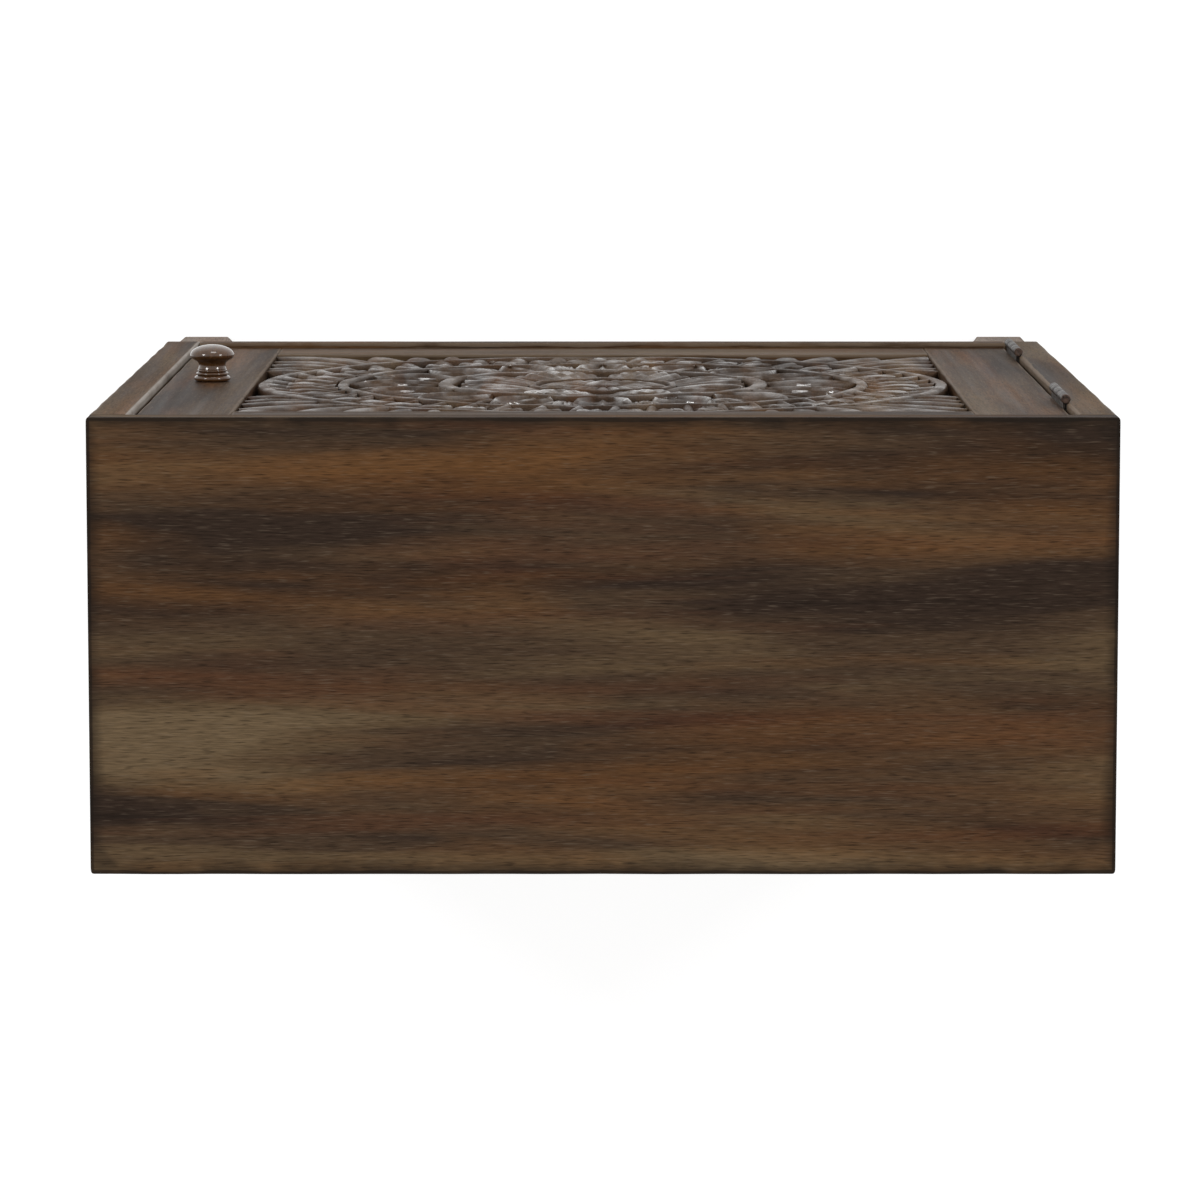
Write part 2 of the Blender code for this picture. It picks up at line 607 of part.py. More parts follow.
def hinge_leaf(name, sign, knuckles, middle_z, finish=AGED_METAL):
    """One leaf of a butt hinge: a plate with a tab to each of its knuckles.

    Sign is -1 for the leaf on the case and 1 for the leaf on the door.
    """
    half = HINGE_LENGTH / 2
    bore = HINGE_PIN_RADIUS + FIT
    root = (bore + KNUCKLE_RADIUS) / 2
    plate = KNUCKLE_RADIUS + KNUCKLE_GAP
    inset = KNUCKLE_GAP
    outline = [(LEAF_REACH, -half), (LEAF_REACH, half), (plate, half)]
    for low, high in reversed(knuckles):
        outline += [(plate, high - inset), (root, high - inset), (root, low + inset), (plate, low + inset)]
    outline += [(plate, -half)]
    start = (AXIS_X + sign * LEAF_SPACING / 2, AXIS_Y, middle_z)
    shape = prism(outline, REAR, UP, RIGHT * (sign * LEAF_THICKNESS))
    leaf = add_object(name, shape, finish, placement(start))
    tubes = bmesh.new()
    for low, high in knuckles:
        section = [(bore, low), (KNUCKLE_RADIUS, low), (KNUCKLE_RADIUS, high), (bore, high)]
        mesh = bpy.data.meshes.new("knuckle")
        tube = turned(section, closed=True)
        tube.to_mesh(mesh)
        tube.free()
        tubes.from_mesh(mesh)
        bpy.data.meshes.remove(mesh)
    barrel = add_object(name + "_barrel", tubes, None, placement((AXIS_X, AXIS_Y, middle_z)))
    combine(leaf, barrel, "UNION", "barrel")


def make_hinge(word, middle_z):
    """A butt hinge let into the case side and the door's edge, with its pin and four screws."""
    half = HINGE_LENGTH / 2
    third = (HINGE_LENGTH - 2 * KNUCKLE_GAP) / 3
    lower = (-half, -half + third)
    centre = (-third / 2, third / 2)
    upper = (half - third, half)
    hinge_leaf(f"{word}_hinge_case_leaf", -1, (lower, upper), middle_z)
    hinge_leaf(f"{word}_hinge_door_leaf", 1, (centre,), middle_z)
    shank = half + FIT
    end = shank + HINGE_PIN_HEAD
    profile = [(0, -end), (KNUCKLE_RADIUS, -end), (KNUCKLE_RADIUS, -shank), (HINGE_PIN_RADIUS, -shank),
               (HINGE_PIN_RADIUS, shank), (KNUCKLE_RADIUS, shank), (KNUCKLE_RADIUS, end), (0, end)]
    place = placement((AXIS_X, AXIS_Y, middle_z))
    add_object(f"{word}_hinge_pin", turned(profile), RUSTED_METAL, place, smooth=True)
    outside = LEAF_SPACING / 2 + LEAF_THICKNESS + FIT
    front_y = FRONT - OVERCUT
    back_y = AXIS_Y + LEAF_REACH + FIT
    low_z = middle_z - half - FIT
    high_z = middle_z + half + FIT
    cut_box(bpy.data.objects["left_side_panel"], (AXIS_X - outside, front_y, low_z),
            (AXIS_X + DOOR_GAP, back_y, high_z), word + "_gain")
    cut_box(bpy.data.objects["door_hinge_stile"], (AXIS_X - DOOR_GAP, front_y, low_z),
            (AXIS_X + outside, back_y, high_z), word + "_gain")
    screw_y = (FRONT + DOOR_RECESS + AXIS_Y + LEAF_REACH) / 2
    for leaf, wood, sign in (("case", "left_side_panel", -1), ("door", "door_hinge_stile", 1)):
        targets = (f"{word}_hinge_{leaf}_leaf", wood)
        start_x = AXIS_X + sign * (LEAF_SPACING / 2 + SCREW_SINK)
        for number, step in ((1, 0.5), (2, -0.5)):
            place = (start_x, screw_y, middle_z + step * HINGE_SCREW_SPACING)
            add_screw(f"{word}_hinge_{leaf}_screw_{number}", targets, place, RIGHT * sign,
                      LEAF_THICKNESS + SCREW_BITE)


def make_catch():
    """A magnetic catch screwed up under the top, meeting a strike plate on the door's knob stile."""
    strike_y = DOOR_BACK + FIT
    strike_end = strike_y + STRIKE_THICKNESS
    magnet_y = strike_end + FIT
    housing_y = magnet_y + MAGNET_PROUD
    top_z = OPENING_TOP - FIT
    low_z = top_z - CATCH_HEIGHT
    middle_z = top_z - CATCH_HEIGHT / 2
    x = STILE_CENTRE_X
    housing = add_board("catch_housing", (x - CATCH_LENGTH / 2, housing_y, low_z),
                        (x + CATCH_LENGTH / 2, housing_y + CATCH_DEPTH, top_z), BROWN_PLASTIC)
    magnet_low = (x - MAGNET_LENGTH / 2, magnet_y, middle_z - MAGNET_HEIGHT / 2)
    magnet_high = (x + MAGNET_LENGTH / 2, magnet_y + MAGNET_DEPTH, middle_z + MAGNET_HEIGHT / 2)
    add_board("catch_magnet", magnet_low, magnet_high, STEEL)
    room = Vector((FIT, FIT, FIT))
    slot_low = Vector(magnet_low) - room - REAR * OVERCUT
    cut_box(housing, slot_low, Vector(magnet_high) + room, "slot")
    for number, sign in ((1, -1), (2, 1)):
        place = (x + sign * CATCH_SCREW_SPACING / 2, housing_y + CATCH_DEPTH / 2, low_z + SCREW_SINK)
        add_screw(f"catch_screw_{number}", ("catch_housing", "top_panel"), place, UP,
                  CATCH_HEIGHT + SCREW_BITE, STEEL)
    add_board("strike_plate", (x - STRIKE_LENGTH / 2, strike_y, middle_z - STRIKE_HEIGHT / 2),
              (x + STRIKE_LENGTH / 2, strike_end, middle_z + STRIKE_HEIGHT / 2), STEEL)
    add_screw("strike_screw", ("strike_plate", "door_knob_stile"), (x, strike_end - SCREW_SINK, middle_z),
              -REAR, STRIKE_THICKNESS + FIT + SCREW_BITE, STEEL)


def hang_door():
    """Parent every piece of the door to an empty on the hinge axis."""
    axis = bpy.data.objects.new("door_hinge_axis", None)
    axis.location = (AXIS_X, AXIS_Y, DOOR_CENTRE_Z)
    bpy.context.collection.objects.link(axis)
    for item in list(bpy.data.objects):
        name = item.name
        on_door = name.startswith(("door_", "carved_", "knob", "strike_")) or "_hinge_door_" in name
        if on_door and item is not axis:
            item.parent = axis
            item.matrix_parent_inverse = Matrix.Translation(axis.location).inverted()


clear_scene()
make_case()
make_feet()
make_shelf()
make_case_joinery()
make_door_frame()
make_carved_panel()
make_knob()
make_hinge("upper", UPPER_HINGE_Z)
make_hinge("lower", LOWER_HINGE_Z)
make_catch()
cut_pockets()
hang_door()
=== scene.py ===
"""Looks of a dark walnut accent cabinet whose one door is carved with a round lotus.

Metres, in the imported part's own frame: the front faces -Y, +Z is up and the door hangs on its -X edge.
"""

import json
import math

import bpy
import numpy as np
from mathutils import Matrix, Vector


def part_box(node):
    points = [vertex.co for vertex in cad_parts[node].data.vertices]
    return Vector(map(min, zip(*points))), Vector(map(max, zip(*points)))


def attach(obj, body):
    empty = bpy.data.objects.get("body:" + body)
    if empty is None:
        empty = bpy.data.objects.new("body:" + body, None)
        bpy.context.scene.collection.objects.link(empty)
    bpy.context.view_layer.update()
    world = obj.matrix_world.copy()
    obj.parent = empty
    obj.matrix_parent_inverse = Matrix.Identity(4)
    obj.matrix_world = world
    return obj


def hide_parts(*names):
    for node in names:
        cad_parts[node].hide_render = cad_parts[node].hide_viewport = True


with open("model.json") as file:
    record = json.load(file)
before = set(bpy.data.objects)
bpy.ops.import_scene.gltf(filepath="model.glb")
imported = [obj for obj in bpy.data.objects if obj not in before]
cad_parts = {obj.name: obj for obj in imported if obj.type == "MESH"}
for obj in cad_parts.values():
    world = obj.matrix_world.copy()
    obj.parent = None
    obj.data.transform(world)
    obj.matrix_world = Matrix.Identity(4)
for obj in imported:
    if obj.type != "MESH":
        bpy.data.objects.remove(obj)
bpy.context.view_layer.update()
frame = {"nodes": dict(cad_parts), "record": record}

# Side panels
# Two upright boards of stained hardwood, sawn, sanded and eased along their edges. Their front edges show
# beside the door. Inside they are drilled with two columns of holes for the shelf pins, and rabbeted at the
# rear for the back board.

CASE_EASE = 0.0020
EDGE_FADE = 0.006
EDGE_SUPPORT = 0.0008
STATION_STEP = 0.02
ARC_POINTS = 5
SHARP_ANGLE = math.radians(42)
PIN_HOLE_RADIUS = 0.0028
PIN_HOLE_DEPTH = 0.010
PIN_HOLE_STEPS = 20
PIN_HOLE_OVERRUN = 0.004
PIN_ROW_SPACING = 0.064
RABBET_PLAY = 0.0003
RABBET_OVERRUN = 0.01

WALNUT_TONES = ((0.00, (0.014, 0.010, 0.008)), (0.30, (0.028, 0.018, 0.013)), (0.52, (0.050, 0.031, 0.019)),
                (0.76, (0.082, 0.053, 0.029)), (1.00, (0.110, 0.075, 0.042)))
AMBER = (0.150, 0.066, 0.022)
RUSSET = (0.098, 0.033, 0.014)
PALE_FLECK = (0.170, 0.130, 0.092)
PORE = (0.010, 0.007, 0.005)
EDGE_WORN = (0.118, 0.086, 0.060)
REVEAL_DEPTH = 0.0050
REVEAL_BORDER = (0.0014, 0.0022)
# Painted light: the paler tones for the inner faces beside the door, one per side, standing for the light
# that falls on them.
LIT_REVEAL_TONES = {"left": (0.160, 0.118, 0.084), "right": (0.330, 0.300, 0.270)}
WARM_SHEEN = (1.0, 0.90, 0.83)


def add_mesh(name, points, faces):
    """A mesh object from points and faces, turned right side out if its signed volume is negative."""
    points = np.asarray(points, dtype=float).reshape(-1, 3)
    fans = np.array([(face[0], face[i], face[i + 1]) for face in faces for i in range(1, len(face) - 1)])
    corner = points[fans]
    volume = np.einsum("ij,ij->", corner[:, 0], np.cross(corner[:, 1], corner[:, 2]))
    if volume < 0:
        faces = [face[::-1] for face in faces]
    mesh = bpy.data.meshes.new(name)
    mesh.from_pydata(points.tolist(), [], faces)
    mesh.shade_smooth()
    mesh.set_sharp_from_angle(angle=SHARP_ANGLE)
    item = bpy.data.objects.new(name, mesh)
    bpy.context.collection.objects.link(item)
    return item


def loft(name, loops, ring=False):
    """A closed skin over loops of points, given as an array (copies, loops, points, 3).

    Quads join each loop to the next. The first and last loop get flat caps or, on a ring, join each other.
    """
    loops = np.asarray(loops, dtype=float)
    loops = loops[None] if loops.ndim == 3 else loops
    copies, rows, columns = loops.shape[:3]
    index = np.arange(copies * rows * columns).reshape(copies, rows, columns)
    beside = np.roll(index, -1, axis=2)
    last = rows if ring else rows - 1
    ahead = np.roll(index, -1, axis=1)
    ahead_beside = np.roll(beside, -1, axis=1)
    quads = np.stack((index, beside, ahead_beside, ahead), axis=-1)[:, :last].reshape(-1, 4).tolist()
    caps = [] if ring else index[:, 0, ::-1].tolist() + index[:, -1].tolist()
    return add_mesh(name, loops, quads + caps)


def fit_piece(item, body, slot, material, *nodes):
    """Gives a piece its finish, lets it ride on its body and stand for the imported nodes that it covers."""
    item.data.materials.append(material)
    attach(item, body)
    if nodes:
        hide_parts(*nodes)
    return item


def wander(places, seed, waves=5, low=2.0, high=16.0):
    """A smooth random line between about -1 and 1: the mean of sines of unlike lengths and phases."""
    draw = np.random.default_rng(seed)
    pitch = draw.uniform(low, high, waves)
    phase = draw.uniform(0, 2 * math.pi, waves)
    return np.sin(2 * math.pi * np.multiply.outer(places, pitch) + phase).mean(axis=-1)


def add_board(name, low, high, along, ease, seed, wear=0.5, fade=EDGE_FADE):
    """A board: a rectangle with round corners carried along one axis.

    The corners' radius wanders along the board as hand sanding leaves it. At both ends the rectangle draws
    in over a quarter circle and then flat to the cap. The attribute arris is 1 on the edges and fades to 0.
    """
    low = np.array(low, dtype=float)
    high = np.array(high, dtype=float)
    across = (along + 1) % 3
    beyond = (along + 2) % 3
    length = high[along] - low[along]
    half = (high - low)[[across, beyond]] / 2
    turn = np.linspace(0, math.pi / 2, ARC_POINTS)
    cap_room = half.min() - ease
    cap_inset = ease + cap_room * np.array((0.6, 0.2))
    end_place = np.concatenate(([0, 0], ease - ease * np.cos(turn), [ease + EDGE_SUPPORT, ease + fade]))
    draw_in = np.concatenate((cap_inset, ease - ease * np.sin(turn), [0, 0]))
    end_mark = np.concatenate(([0.5, 0.8], np.ones(ARC_POINTS), [0.8, 0]))
    inner = length - 2 * (ease + fade)
    middle = np.linspace(0, inner, max(3, int(inner / STATION_STEP)))[1:-1] + ease + fade
    place = np.concatenate((end_place, middle, length - end_place[::-1]))
    inset = np.concatenate((draw_in, 0 * middle, draw_in[::-1]))
    mark = np.concatenate((end_mark, 0 * middle, end_mark[::-1]))
    radius = np.stack([ease * (1 + wear * wander(place, seed + k)) for k in range(4)], axis=1)
    radius = np.minimum(radius, (half.min() - inset[:, None]) * 0.9)
    signs = np.array(((1, 1), (-1, 1), (-1, -1), (1, -1)))
    room = half - inset[:, None, None] - radius[:, :, None]
    corner_turn = turn + np.arange(4)[:, None] * math.pi / 2
    spoke = np.stack((np.cos(corner_turn), np.sin(corner_turn)), axis=-1)
    side = np.stack((-np.sin(corner_turn), np.cos(corner_turn)), axis=-1)
    arc = (signs * room)[:, :, None] + radius[:, :, None, None] * spoke
    odd = np.arange(4) % 2
    room_before = room[:, np.arange(4), 1 - odd][:, :, None, None]
    room_after = room[:, np.arange(4), odd][:, :, None, None]
    before = [arc[:, :, :1] - side[:, :1] * np.minimum(gap, room_before * share)
              for gap, share in ((fade, 0.8), (EDGE_SUPPORT, 0.3))]
    after = [arc[:, :, -1:] + side[:, -1:] * np.minimum(gap, room_after * share)
             for gap, share in ((EDGE_SUPPORT, 0.3), (fade, 0.8))]
    section = np.concatenate((*before, arc, *after), axis=2).reshape(len(place), -1, 2)
    loops = np.empty((*section.shape[:2], 3))
    loops[:, :, along] = (low[along] + place)[:, None]
    loops[:, :, [across, beyond]] = section + (low + high)[[across, beyond]] / 2
    item = loft(name, loops)
    corner_mark = np.tile(np.concatenate(([0, 0.8], np.ones(ARC_POINTS), [0.8, 0])), 4)
    arris = np.maximum(mark[:, None], corner_mark[None, :])
    item.data.attributes.new("arris", "FLOAT", "POINT").data.foreach_set("value", arris.ravel())
    return item


def disc_loops(centre, axis, radii, places, steps):
    """Loops of a turned shape: circles of the given radii at the given places along an axis from a centre."""
    angle = np.arange(steps) * 2 * math.pi / steps
    across = (axis + 1) % 3
    beyond = (axis + 2) % 3
    loops = np.empty((len(radii), steps, 3))
    loops[:, :, axis] = centre[axis] + np.asarray(places)[:, None]
    loops[:, :, across] = centre[across] + np.outer(radii, np.cos(angle))
    loops[:, :, beyond] = centre[beyond] + np.outer(radii, np.sin(angle))
    return loops


def drill(item, loops):
    """Cuts closed lofts out of a piece with a boolean, and keeps the cut mesh."""
    cutter = loft(item.name + "_drill", loops)
    cut = item.modifiers.new("holes", "BOOLEAN")
    cut.operation = "DIFFERENCE"
    cut.object = cutter
    graph = bpy.context.evaluated_depsgraph_get()
    mesh = bpy.data.meshes.new_from_object(item.evaluated_get(graph))
    mesh.set_sharp_from_angle(angle=SHARP_ANGLE)
    item.modifiers.clear()
    item.data = mesh
    bpy.data.objects.remove(cutter)


def start_material(name):
    """A new material, its node tree and its Principled shader."""
    material = bpy.data.materials.new(name)
    material.use_nodes = True
    return material, material.node_tree, material.node_tree.nodes["Principled BSDF"]


def add_node(tree, kind, sockets, output=0, **settings):
    """One shader node: a socket's value is set, or linked where the value is another node's output."""
    made = tree.nodes.new("ShaderNode" + kind)
    for key, value in settings.items():
        setattr(made, key, value)
    for key, value in sockets.items():
        if isinstance(value, bpy.types.NodeSocket):
            tree.links.new(value, made.inputs[key])
        else:
            made.inputs[key].default_value = value
    return made.outputs[output]


def add_noise(tree, coords, scale, detail=2.0, rough=0.5, warp=0.0):
    """Plain noise on given coordinates."""
    return add_node(tree, "TexNoise", {"Vector": coords, "Scale": scale, "Detail": detail,
                                       "Roughness": rough, "Distortion": warp})


def add_range(tree, value, low, high, start, end):
    """A value between low and high mapped to start and end, and held there beyond them."""
    return add_node(tree, "MapRange", {"Value": value, "From Min": low, "From Max": high,
                                       "To Min": start, "To Max": end})


def add_blend(tree, factor, first, second, blend="MIX"):
    """Two colours mixed by a factor."""
    return add_node(tree, "Mix", {0: factor, 6: first, 7: second}, output=2,
                    data_type="RGBA", blend_type=blend)


def add_ramp(tree, value, stops):
    """A smooth run of colours over a value from 0 to 1."""
    made = tree.nodes.new("ShaderNodeValToRGB")
    made.color_ramp.interpolation = "EASE"
    while len(made.color_ramp.elements) < len(stops):
        made.color_ramp.elements.new(0.5)
    for element, (place, colour) in zip(made.color_ramp.elements, stops):
        element.position = place
        element.color = (*colour, 1)
    tree.links.new(value, made.inputs["Fac"])
    return made.outputs["Color"]


def stained_wood(name, grain, shift=(0, 0, 0), tones=WALNUT_TONES, shine=0.04, rough=(0.46, 0.60), warmth=1.0,
                 edge=(EDGE_WORN, 0.84, 1.0, 0.14)):
    """Stained walnut: smoky bands of stain over streaks, fibres and pores that all run along one axis.

    Each layer is noise squeezed along the grain, from hand-wide bands down to pores under a millimetre wide.
    Edge holds the colour of the board's edges, the values of arris between which it sets in, and how far
    noise moves those values.
    """
    material, tree, shader = start_material(name)
    coords = add_node(tree, "TexCoord", {}, output=3)

    def layer(squeeze, scale, detail, warp, offset):
        """Noise of a scale per metre, squeezed along the grain, so that its pattern stretches that way."""
        stretch = [1.0, 1.0, 1.0]
        stretch[grain] = squeeze
        moved = [place + offset for place in shift]
        mapped = add_node(tree, "Mapping", {"Vector": coords, "Location": moved, "Scale": stretch})
        return add_noise(tree, mapped, scale, detail, 0.55, warp)

    band = layer(0.09, 18, 3, 0.5, 0.0)
    smoke = layer(0.20, 9, 2, 0.3, 3.1)
    streak = layer(0.03, 95, 3, 0.2, 5.7)
    fibre = layer(0.075, 920, 2, 0.1, 1.3)
    dash = layer(0.075, 960, 1, 0.0, 2.2)
    mixed = add_node(tree, "Mix", {0: 0.30, 2: band, 3: smoke})
    mixed = add_node(tree, "Mix", {0: 0.13, 2: mixed, 3: streak})
    colour = add_ramp(tree, add_range(tree, mixed, 0.33, 0.66, 0, 1), tones)
    amber = add_range(tree, layer(0.13, 20, 3, 0.4, 7.9), 0.50, 0.76, 0, 0.62 * warmth)
    colour = add_blend(tree, amber, colour, (*AMBER, 1))
    russet = add_range(tree, layer(0.07, 36, 3, 0.3, 9.4), 0.54, 0.76, 0, 0.40 * warmth)
    colour = add_blend(tree, russet, colour, (*RUSSET, 1))
    colour = add_blend(tree, 1.0, colour, add_range(tree, fibre, 0.30, 0.70, 0.76, 1.24), "MULTIPLY")
    pore = add_range(tree, dash, 0.58, 0.72, 0, 0.55)
    colour = add_blend(tree, pore, colour, (*PORE, 1))
    fleck = add_range(tree, dash, 0.40, 0.27, 0, 0.24)
    colour = add_blend(tree, fleck, colour, (*PALE_FLECK, 1))
    tone, first, last, roam = edge
    arris = add_node(tree, "Attribute", {}, output=2, attribute_name="arris")
    spread = add_range(tree, layer(0.8, 30, 3, 0.4, 4.6), 0.3, 0.7, -roam, roam)
    reach = add_node(tree, "Math", {0: arris, 1: spread}, operation="ADD")
    marked = add_node(tree, "Math", {0: add_range(tree, reach, first, last, 0, 0.9),
                                     1: add_range(tree, arris, 0, 0.1, 0, 1)}, operation="MULTIPLY")
    colour = add_blend(tree, marked, colour, (*tone, 1))
    tree.links.new(colour, shader.inputs["Base Color"])
    tree.links.new(add_range(tree, streak, 0.3, 0.7, *rough), shader.inputs["Roughness"])
    shader.inputs["Specular IOR Level"].default_value = shine
    shader.inputs["Specular Tint"].default_value = (*WARM_SHEEN, 1)
    relief = add_node(tree, "Math", {0: fibre, 1: pore}, operation="SUBTRACT")
    bump = add_node(tree, "Bump", {"Strength": 0.30, "Distance": 0.0004, "Height": relief})
    tree.links.new(bump, shader.inputs["Normal"])
    return material


def paint_lit_reveal(material, inner_x, front_y, tone):
    """Paints light on the inner face of a side panel where it stands proud of the door: a paler tone stands
    for the light falling on it.

    The mask is 1 near the plane of the inner face and near the front, and noise makes it patchy.
    """
    tree = material.node_tree
    shader = tree.nodes["Principled BSDF"]
    stain = shader.inputs["Base Color"].links[0].from_socket
    coords = add_node(tree, "TexCoord", {}, output=3)
    across = add_node(tree, "SeparateXYZ", {"Vector": coords}, output=0)
    behind = add_node(tree, "SeparateXYZ", {"Vector": coords}, output=1)
    away = add_node(tree, "Math", {0: across, 1: inner_x}, operation="SUBTRACT")
    away = add_node(tree, "Math", {0: away}, operation="ABSOLUTE")
    beside = add_range(tree, away, *REVEAL_BORDER, 1, 0)
    patches = add_range(tree, add_noise(tree, coords, 45, 3, 0.6), 0.3, 0.7, 0.55, 1.0)
    depth = add_range(tree, behind, front_y + 0.8 * REVEAL_DEPTH, front_y + 1.3 * REVEAL_DEPTH, 1, 0)
    mask = add_node(tree, "Math", {0: beside, 1: depth}, operation="MULTIPLY")
    mask = add_node(tree, "Math", {0: mask, 1: patches}, operation="MULTIPLY")
    tree.links.new(add_blend(tree, mask, stain, (*tone, 1)), shader.inputs["Base Color"])


back_low, back_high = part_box("back_panel")
for word, sign in (("left", -1), ("right", 1)):
    node = word + "_side_panel"
    low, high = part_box(node)
    panel = add_board("dressed_" + node, low, high, 2, CASE_EASE, seed=10 + sign)
    inner_x = high[0] if sign < 0 else low[0]
    pins = [np.mean(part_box(f"shelf_pin_{end}_{word}"), axis=0) for end in ("front", "back")]
    hole_places = (-sign * PIN_HOLE_OVERRUN, sign * PIN_HOLE_DEPTH)
    holes = [disc_loops((inner_x, pin[1], pin[2] + row * PIN_ROW_SPACING), 0,
                        (PIN_HOLE_RADIUS, PIN_HOLE_RADIUS), hole_places, PIN_HOLE_STEPS)
             for pin in pins for row in (-1, 0, 1)]
    drill(panel, holes)
    open_x = inner_x - sign * RABBET_OVERRUN
    ledge_x = (back_low if sign < 0 else back_high)[0] + sign * RABBET_PLAY
    ledge_y = back_low[1] - RABBET_PLAY
    open_y = back_high[1] + RABBET_OVERRUN
    outline = np.array(((open_x, ledge_y), (ledge_x, ledge_y), (ledge_x, open_y), (open_x, open_y)))
    ends = (low[2] - RABBET_OVERRUN, high[2] + RABBET_OVERRUN)
    drill(panel, [np.column_stack((outline, np.full(4, end))) for end in ends])
    upright_wood = stained_wood("upright_walnut_" + word, 2, shine=0.02)
    # Painted light on the inner face beside the door: a paler, patchy tone for the light that falls on it.
    paint_lit_reveal(upright_wood, inner_x, low[1], LIT_REVEAL_TONES[word])
    fit_piece(panel, "case", "case_wood", upright_wood, node)

# Bottom board and shelf
# Two level boards between the sides: the bottom is dowelled in flush with the front edges, the shelf lies
# loose on its pins. Both are stained like the sides, with the grain from side to side.

level_wood = stained_wood("level_walnut", 0, (0.3, 0.1, 0.7), shine=0.02)
for seed, node in enumerate(("bottom_panel", "shelf")):
    low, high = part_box(node)
    fit_piece(add_board("dressed_" + node, low, high, 0, CASE_EASE, 20 + 4 * seed), "case",
              "case_wood", level_wood, node)

# Top board
# One wide board on top of the sides, flush with them and with the front. It is stained in cloudy bands of
# olive, russet and near-black brown, open-pored, with darkened edges.

TOP_EASE = 0.0022
TOP_FADE = 0.018
# The colour the top is painted with along its edges, darker than its face.
TOP_EDGE_DARK = (0.013, 0.010, 0.008)
TOP_TONES = [(place, tuple(1.08 * part for part in tone)) for place, tone in WALNUT_TONES]

top_wood = stained_wood("top_walnut", 0, (0.13, 0.42, 0.2), TOP_TONES, shine=0.015,
                        edge=(TOP_EDGE_DARK, 0.45, 1.0, 0.16))
low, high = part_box("top_panel")
top = add_board("dressed_top_panel", low, high, 0, TOP_EASE, seed=31, fade=TOP_FADE)
fit_piece(top, "case", "top_wood", top_wood, "top_panel")

# Back board
# A thin sheet of stained plywood that closes the case. It is let into rabbets in the sides and held there by
# small countersunk screws.

BACK_EASE = 0.0005
SCREW_HOLE_RADIUS = 0.0033
SCREW_HOLE_DEPTH = 0.0018
SCREW_HOLE_OVERRUN = 0.002
SCREW_HOLE_STEPS = 24
PLY_TONES = ((0.00, (0.050, 0.032, 0.020)), (0.50, (0.105, 0.070, 0.042)), (1.00, (0.165, 0.115, 0.070)))


def screw_hole(node, axis, start, end):
    """Loops of the round hole for a screw's head, between two places along the screw's axis."""
    middle = np.mean(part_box(node), axis=0)
    middle[axis] = 0.0
    return disc_loops(middle, axis, (SCREW_HOLE_RADIUS, SCREW_HOLE_RADIUS), (start, end), SCREW_HOLE_STEPS)


back_wood = stained_wood("back_plywood", 2, (0.6, 0.2, 0.1), PLY_TONES)
back = add_board("dressed_back_panel", back_low, back_high, 2, BACK_EASE, seed=41)
hole_ends = (back_high[1] - SCREW_HOLE_DEPTH, back_high[1] + SCREW_HOLE_OVERRUN)
drill(back, [screw_hole(f"back_screw_{word}_{row}", 1, *hole_ends)
             for word in ("left", "right") for row in (1, 2, 3)])
fit_piece(back, "case", "back_wood", back_wood, "back_panel")

# Feet
# Four solid blocks, upright on the outside and tapered on the two inner faces, each screwed to the case with
# a hanger bolt. Their paler colour is painted light, for the light they catch close to the bright floor.

FOOT_EASE = 0.0018
FOOT_WEAR = 0.6
FOOT_SOLE_SHARE = 37 / 46
FOOT_LIT_TONES = ((0.00, (0.090, 0.066, 0.050)), (0.40, (0.190, 0.148, 0.118)), (0.70, (0.290, 0.235, 0.195)),
              (1.00, (0.380, 0.320, 0.275)))

# Painted light: the feet's paler tone stands for the light they catch near the bright floor.
foot_wood = stained_wood("foot_lit_wood", 2, (0.2, 0.9, 0.4), FOOT_LIT_TONES)
for word, sign in (("left", -1), ("right", 1)):
    for end, inward in (("front", 1), ("back", -1)):
        node = f"foot_{end}_{word}"
        low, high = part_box(node)
        foot = add_board("dressed_" + node, low, high, 2, FOOT_EASE, 50 + sign + 3 * inward, FOOT_WEAR)
        points = np.empty(len(foot.data.vertices) * 3)
        foot.data.vertices.foreach_get("co", points)
        points = points.reshape(-1, 3)
        rise = (points[:, 2] - low[2]) / (high[2] - low[2])
        share = FOOT_SOLE_SHARE + (1 - FOOT_SOLE_SHARE) * rise
        outer = np.array((low[0] if sign < 0 else high[0], low[1] if inward > 0 else high[1]))
        points[:, :2] = outer + (points[:, :2] - outer) * share[:, None]
        foot.data.vertices.foreach_set("co", points.ravel())
        fit_piece(foot, "case", "foot_wood", foot_wood, node)

# Door frame
# Two upright stiles and two rails between them, tenoned together round the carved panel, set a little behind
# the front edges of the case.

FRAME_EASE = 0.0013

stile_wood = stained_wood("stile_walnut", 2, (0.5, 0.3, 0.9))
rail_wood = stained_wood("rail_walnut", 0, (0.7, 0.6, 0.2))
frame_inner_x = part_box("door_knob_stile")[0][0]
for seed, node in enumerate(("door_hinge_stile", "door_knob_stile")):
    low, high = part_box(node)
    stile = add_board("dressed_" + node, low, high, 2, FRAME_EASE, 60 + 4 * seed)
    if node == "door_knob_stile":
        hole_ends = (high[1] - SCREW_HOLE_DEPTH, high[1] + SCREW_HOLE_OVERRUN)
        drill(stile, [screw_hole("knob_screw", 1, *hole_ends)])
    fit_piece(stile, "door", "door_wood", stile_wood, node)
for seed, node in enumerate(("door_top_rail", "door_bottom_rail")):
    low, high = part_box(node)
    rail = add_board("dressed_" + node, (-frame_inner_x, *low[1:]), (frame_inner_x, *high[1:]), 0, FRAME_EASE,
                     70 + 4 * seed)
    fit_piece(rail, "door", "door_wood", rail_wood, node)
